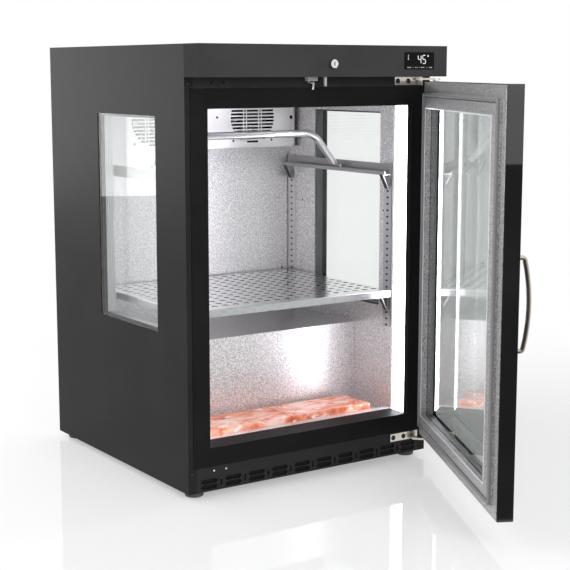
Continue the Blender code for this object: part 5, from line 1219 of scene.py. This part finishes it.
# %% [markdown]
# The camera
#
# The place and angle come from solving the photograph's lines: two and a half metres off, turned
# thirty-four degrees round to the left, looking nine degrees down.

# %% Camera
YAW, PITCH, FOCAL_LENGTH, SENSOR = 34.113, 8.96, 86.1, 36.0
CAMERA_PLACE = (-1.59467, -2.26487, 0.8406)
camera_data = bpy.data.cameras.new("camera")
camera_data.lens, camera_data.sensor_width, camera_data.sensor_fit = FOCAL_LENGTH, SENSOR, "HORIZONTAL"
camera = bpy.data.objects.new("camera", camera_data)
camera.location = CAMERA_PLACE
camera.rotation_euler = (math.radians(90 - PITCH), 0, math.radians(-YAW))
bpy.context.scene.collection.objects.link(camera)
bpy.context.scene.camera = camera
print("camera at", tuple(camera.location))

# %% [markdown]
# Floor
#
# The floor is pale and glossy near the cabinet, so that it takes a shadow and a faint mirror image,
# and fades into the white backdrop further away. The fade mixes the floor's shader with plain white
# light, by the distance from the middle.

# %% The floor's finish
NEAR_WHITE, FADE_START, FADE_END = 0.38, 0.6, 2.0
pale_floor = Finish("floor", {"Roughness": 0.025, "IOR": 1.4, "Specular IOR Level": 0.5})
pale_floor.clouded(1.2, (0.86, 0.86, 0.865), (0.88, 0.88, 0.885))
length = pale_floor.node("ShaderNodeVectorMath", {"operation": "LENGTH"}, {0: pale_floor.place})
distance = length.out("Value")
whiteness = NEAR_WHITE + pale_floor.step(distance, FADE_START, FADE_END) * (1 - NEAR_WHITE)
blend = pale_floor.node("ShaderNodeMixShader", {}, {
    0: whiteness, 1: Value(pale_floor, pale_floor.shader.outputs[0]),
    2: pale_floor.node("ShaderNodeEmission")})
pale_floor.plug(pale_floor.tree.nodes["Material Output"], "Surface", blend)
print("floor", len(pale_floor.tree.nodes), "nodes")

# %% The floor
FLOOR_HALF = 9
bm = bmesh.new()
bmesh.ops.create_grid(bm, x_segments=1, y_segments=1, size=FLOOR_HALF)
floor_mesh = bpy.data.meshes.new("floor")
bm.to_mesh(floor_mesh)
bm.free()
floor_mesh.materials.append(pale_floor.material)
floor = bpy.data.objects.new("floor", floor_mesh)
bpy.context.scene.collection.objects.link(floor)
print("floor", 2 * FLOOR_HALF, "metres across")

# %% [markdown]
# Light
#
# A white surround lights everything evenly. It is stronger where a straight, mirrored or refracted
# look meets it, because there it is the white backdrop. Three large soft lamps add the photograph's
# direction: one high at the left, one in front, and an oblong one behind at the left, which the side
# panel reflects.

# %% Surround
AMBIENT = 0.72
world = bpy.data.worlds.new("studio")
world.use_nodes = True
bpy.context.scene.world = world
surround = Graph(world.node_tree)
ray = surround.node("ShaderNodeLightPath")
seen = ray.out("Is Camera Ray") + ray.out("Is Glossy Ray") + ray.out("Is Transmission Ray")
clamped = surround.node("ShaderNodeClamp", {}, {"Value": seen})
background = world.node_tree.nodes["Background"]
surround.plug(background, "Color", (1, 1, 1, 1))
surround.plug(background, "Strength", AMBIENT + clamped * (1 - AMBIENT))
print("surround strength", AMBIENT, "and 1 where it is seen")


# %% Lamps
def lamp(name, place, target, size, watts, height=None):
    """A soft lamp that looks at a target: round, or oblong where a height is given."""
    data = bpy.data.lights.new(name, "AREA")
    data.shape, data.size, data.energy = "RECTANGLE" if height else "DISK", size, watts
    data.size_y = height or size
    obj = bpy.data.objects.new(name, data)
    obj.location = place
    obj.rotation_euler = (Vector(target) - Vector(place)).to_track_quat("-Z", "Y").to_euler()
    bpy.context.scene.collection.objects.link(obj)


lamp("high_left", (-2.6, 0.9, 2.1), (-0.3, 0.3, 0.7), 2.2, 34)
lamp("front", (-0.1, -2.7, 1.5), (-0.05, 0.2, 0.45), 1.5, 36)
lamp("left_softbox", at(-740, 1658, 830), at(0, 240, 830), 1.8, 12.5, 0.78)
bpy.context.scene.view_settings.view_transform = "Standard"

# %% [markdown]
# A black card
#
# Glossy black paint shows only what it reflects. Photographers stand a black card near it, so that
# the paint stays dark with a sharp upper edge where the card ends. The card is seen by reflections
# alone, not by the camera, and takes no light away.

# %% The card by the door's free edge
card_black = Finish("card_black", {"Roughness": 1.0, "Specular IOR Level": 0.0})
card_black.clouded(5, (0.004, 0.004, 0.004), (0.006, 0.006, 0.006))
CARD_MIDDLE, CARD_HALF, CARD_BOTTOM, CARD_TOP = at(318, -735, 0), Vector((0.16, -0.08, 0)), 0.002, 0.672
start, stop = CARD_MIDDLE - CARD_HALF, CARD_MIDDLE + CARD_HALF
bm = bmesh.new()
bm.faces.new([bm.verts.new((place.x, place.y, level)) for place, level in (
    (start, CARD_BOTTOM), (stop, CARD_BOTTOM), (stop, CARD_TOP), (start, CARD_TOP))])
card_mesh = bpy.data.meshes.new("card")
bm.to_mesh(card_mesh)
bm.free()
card_mesh.materials.append(card_black.material)
card = bpy.data.objects.new("card", card_mesh)
bpy.context.scene.collection.objects.link(card)
card.visible_camera = card.visible_diffuse = card.visible_shadow = card.visible_transmission = False
print("card", CARD_TOP - CARD_BOTTOM, "metres high")
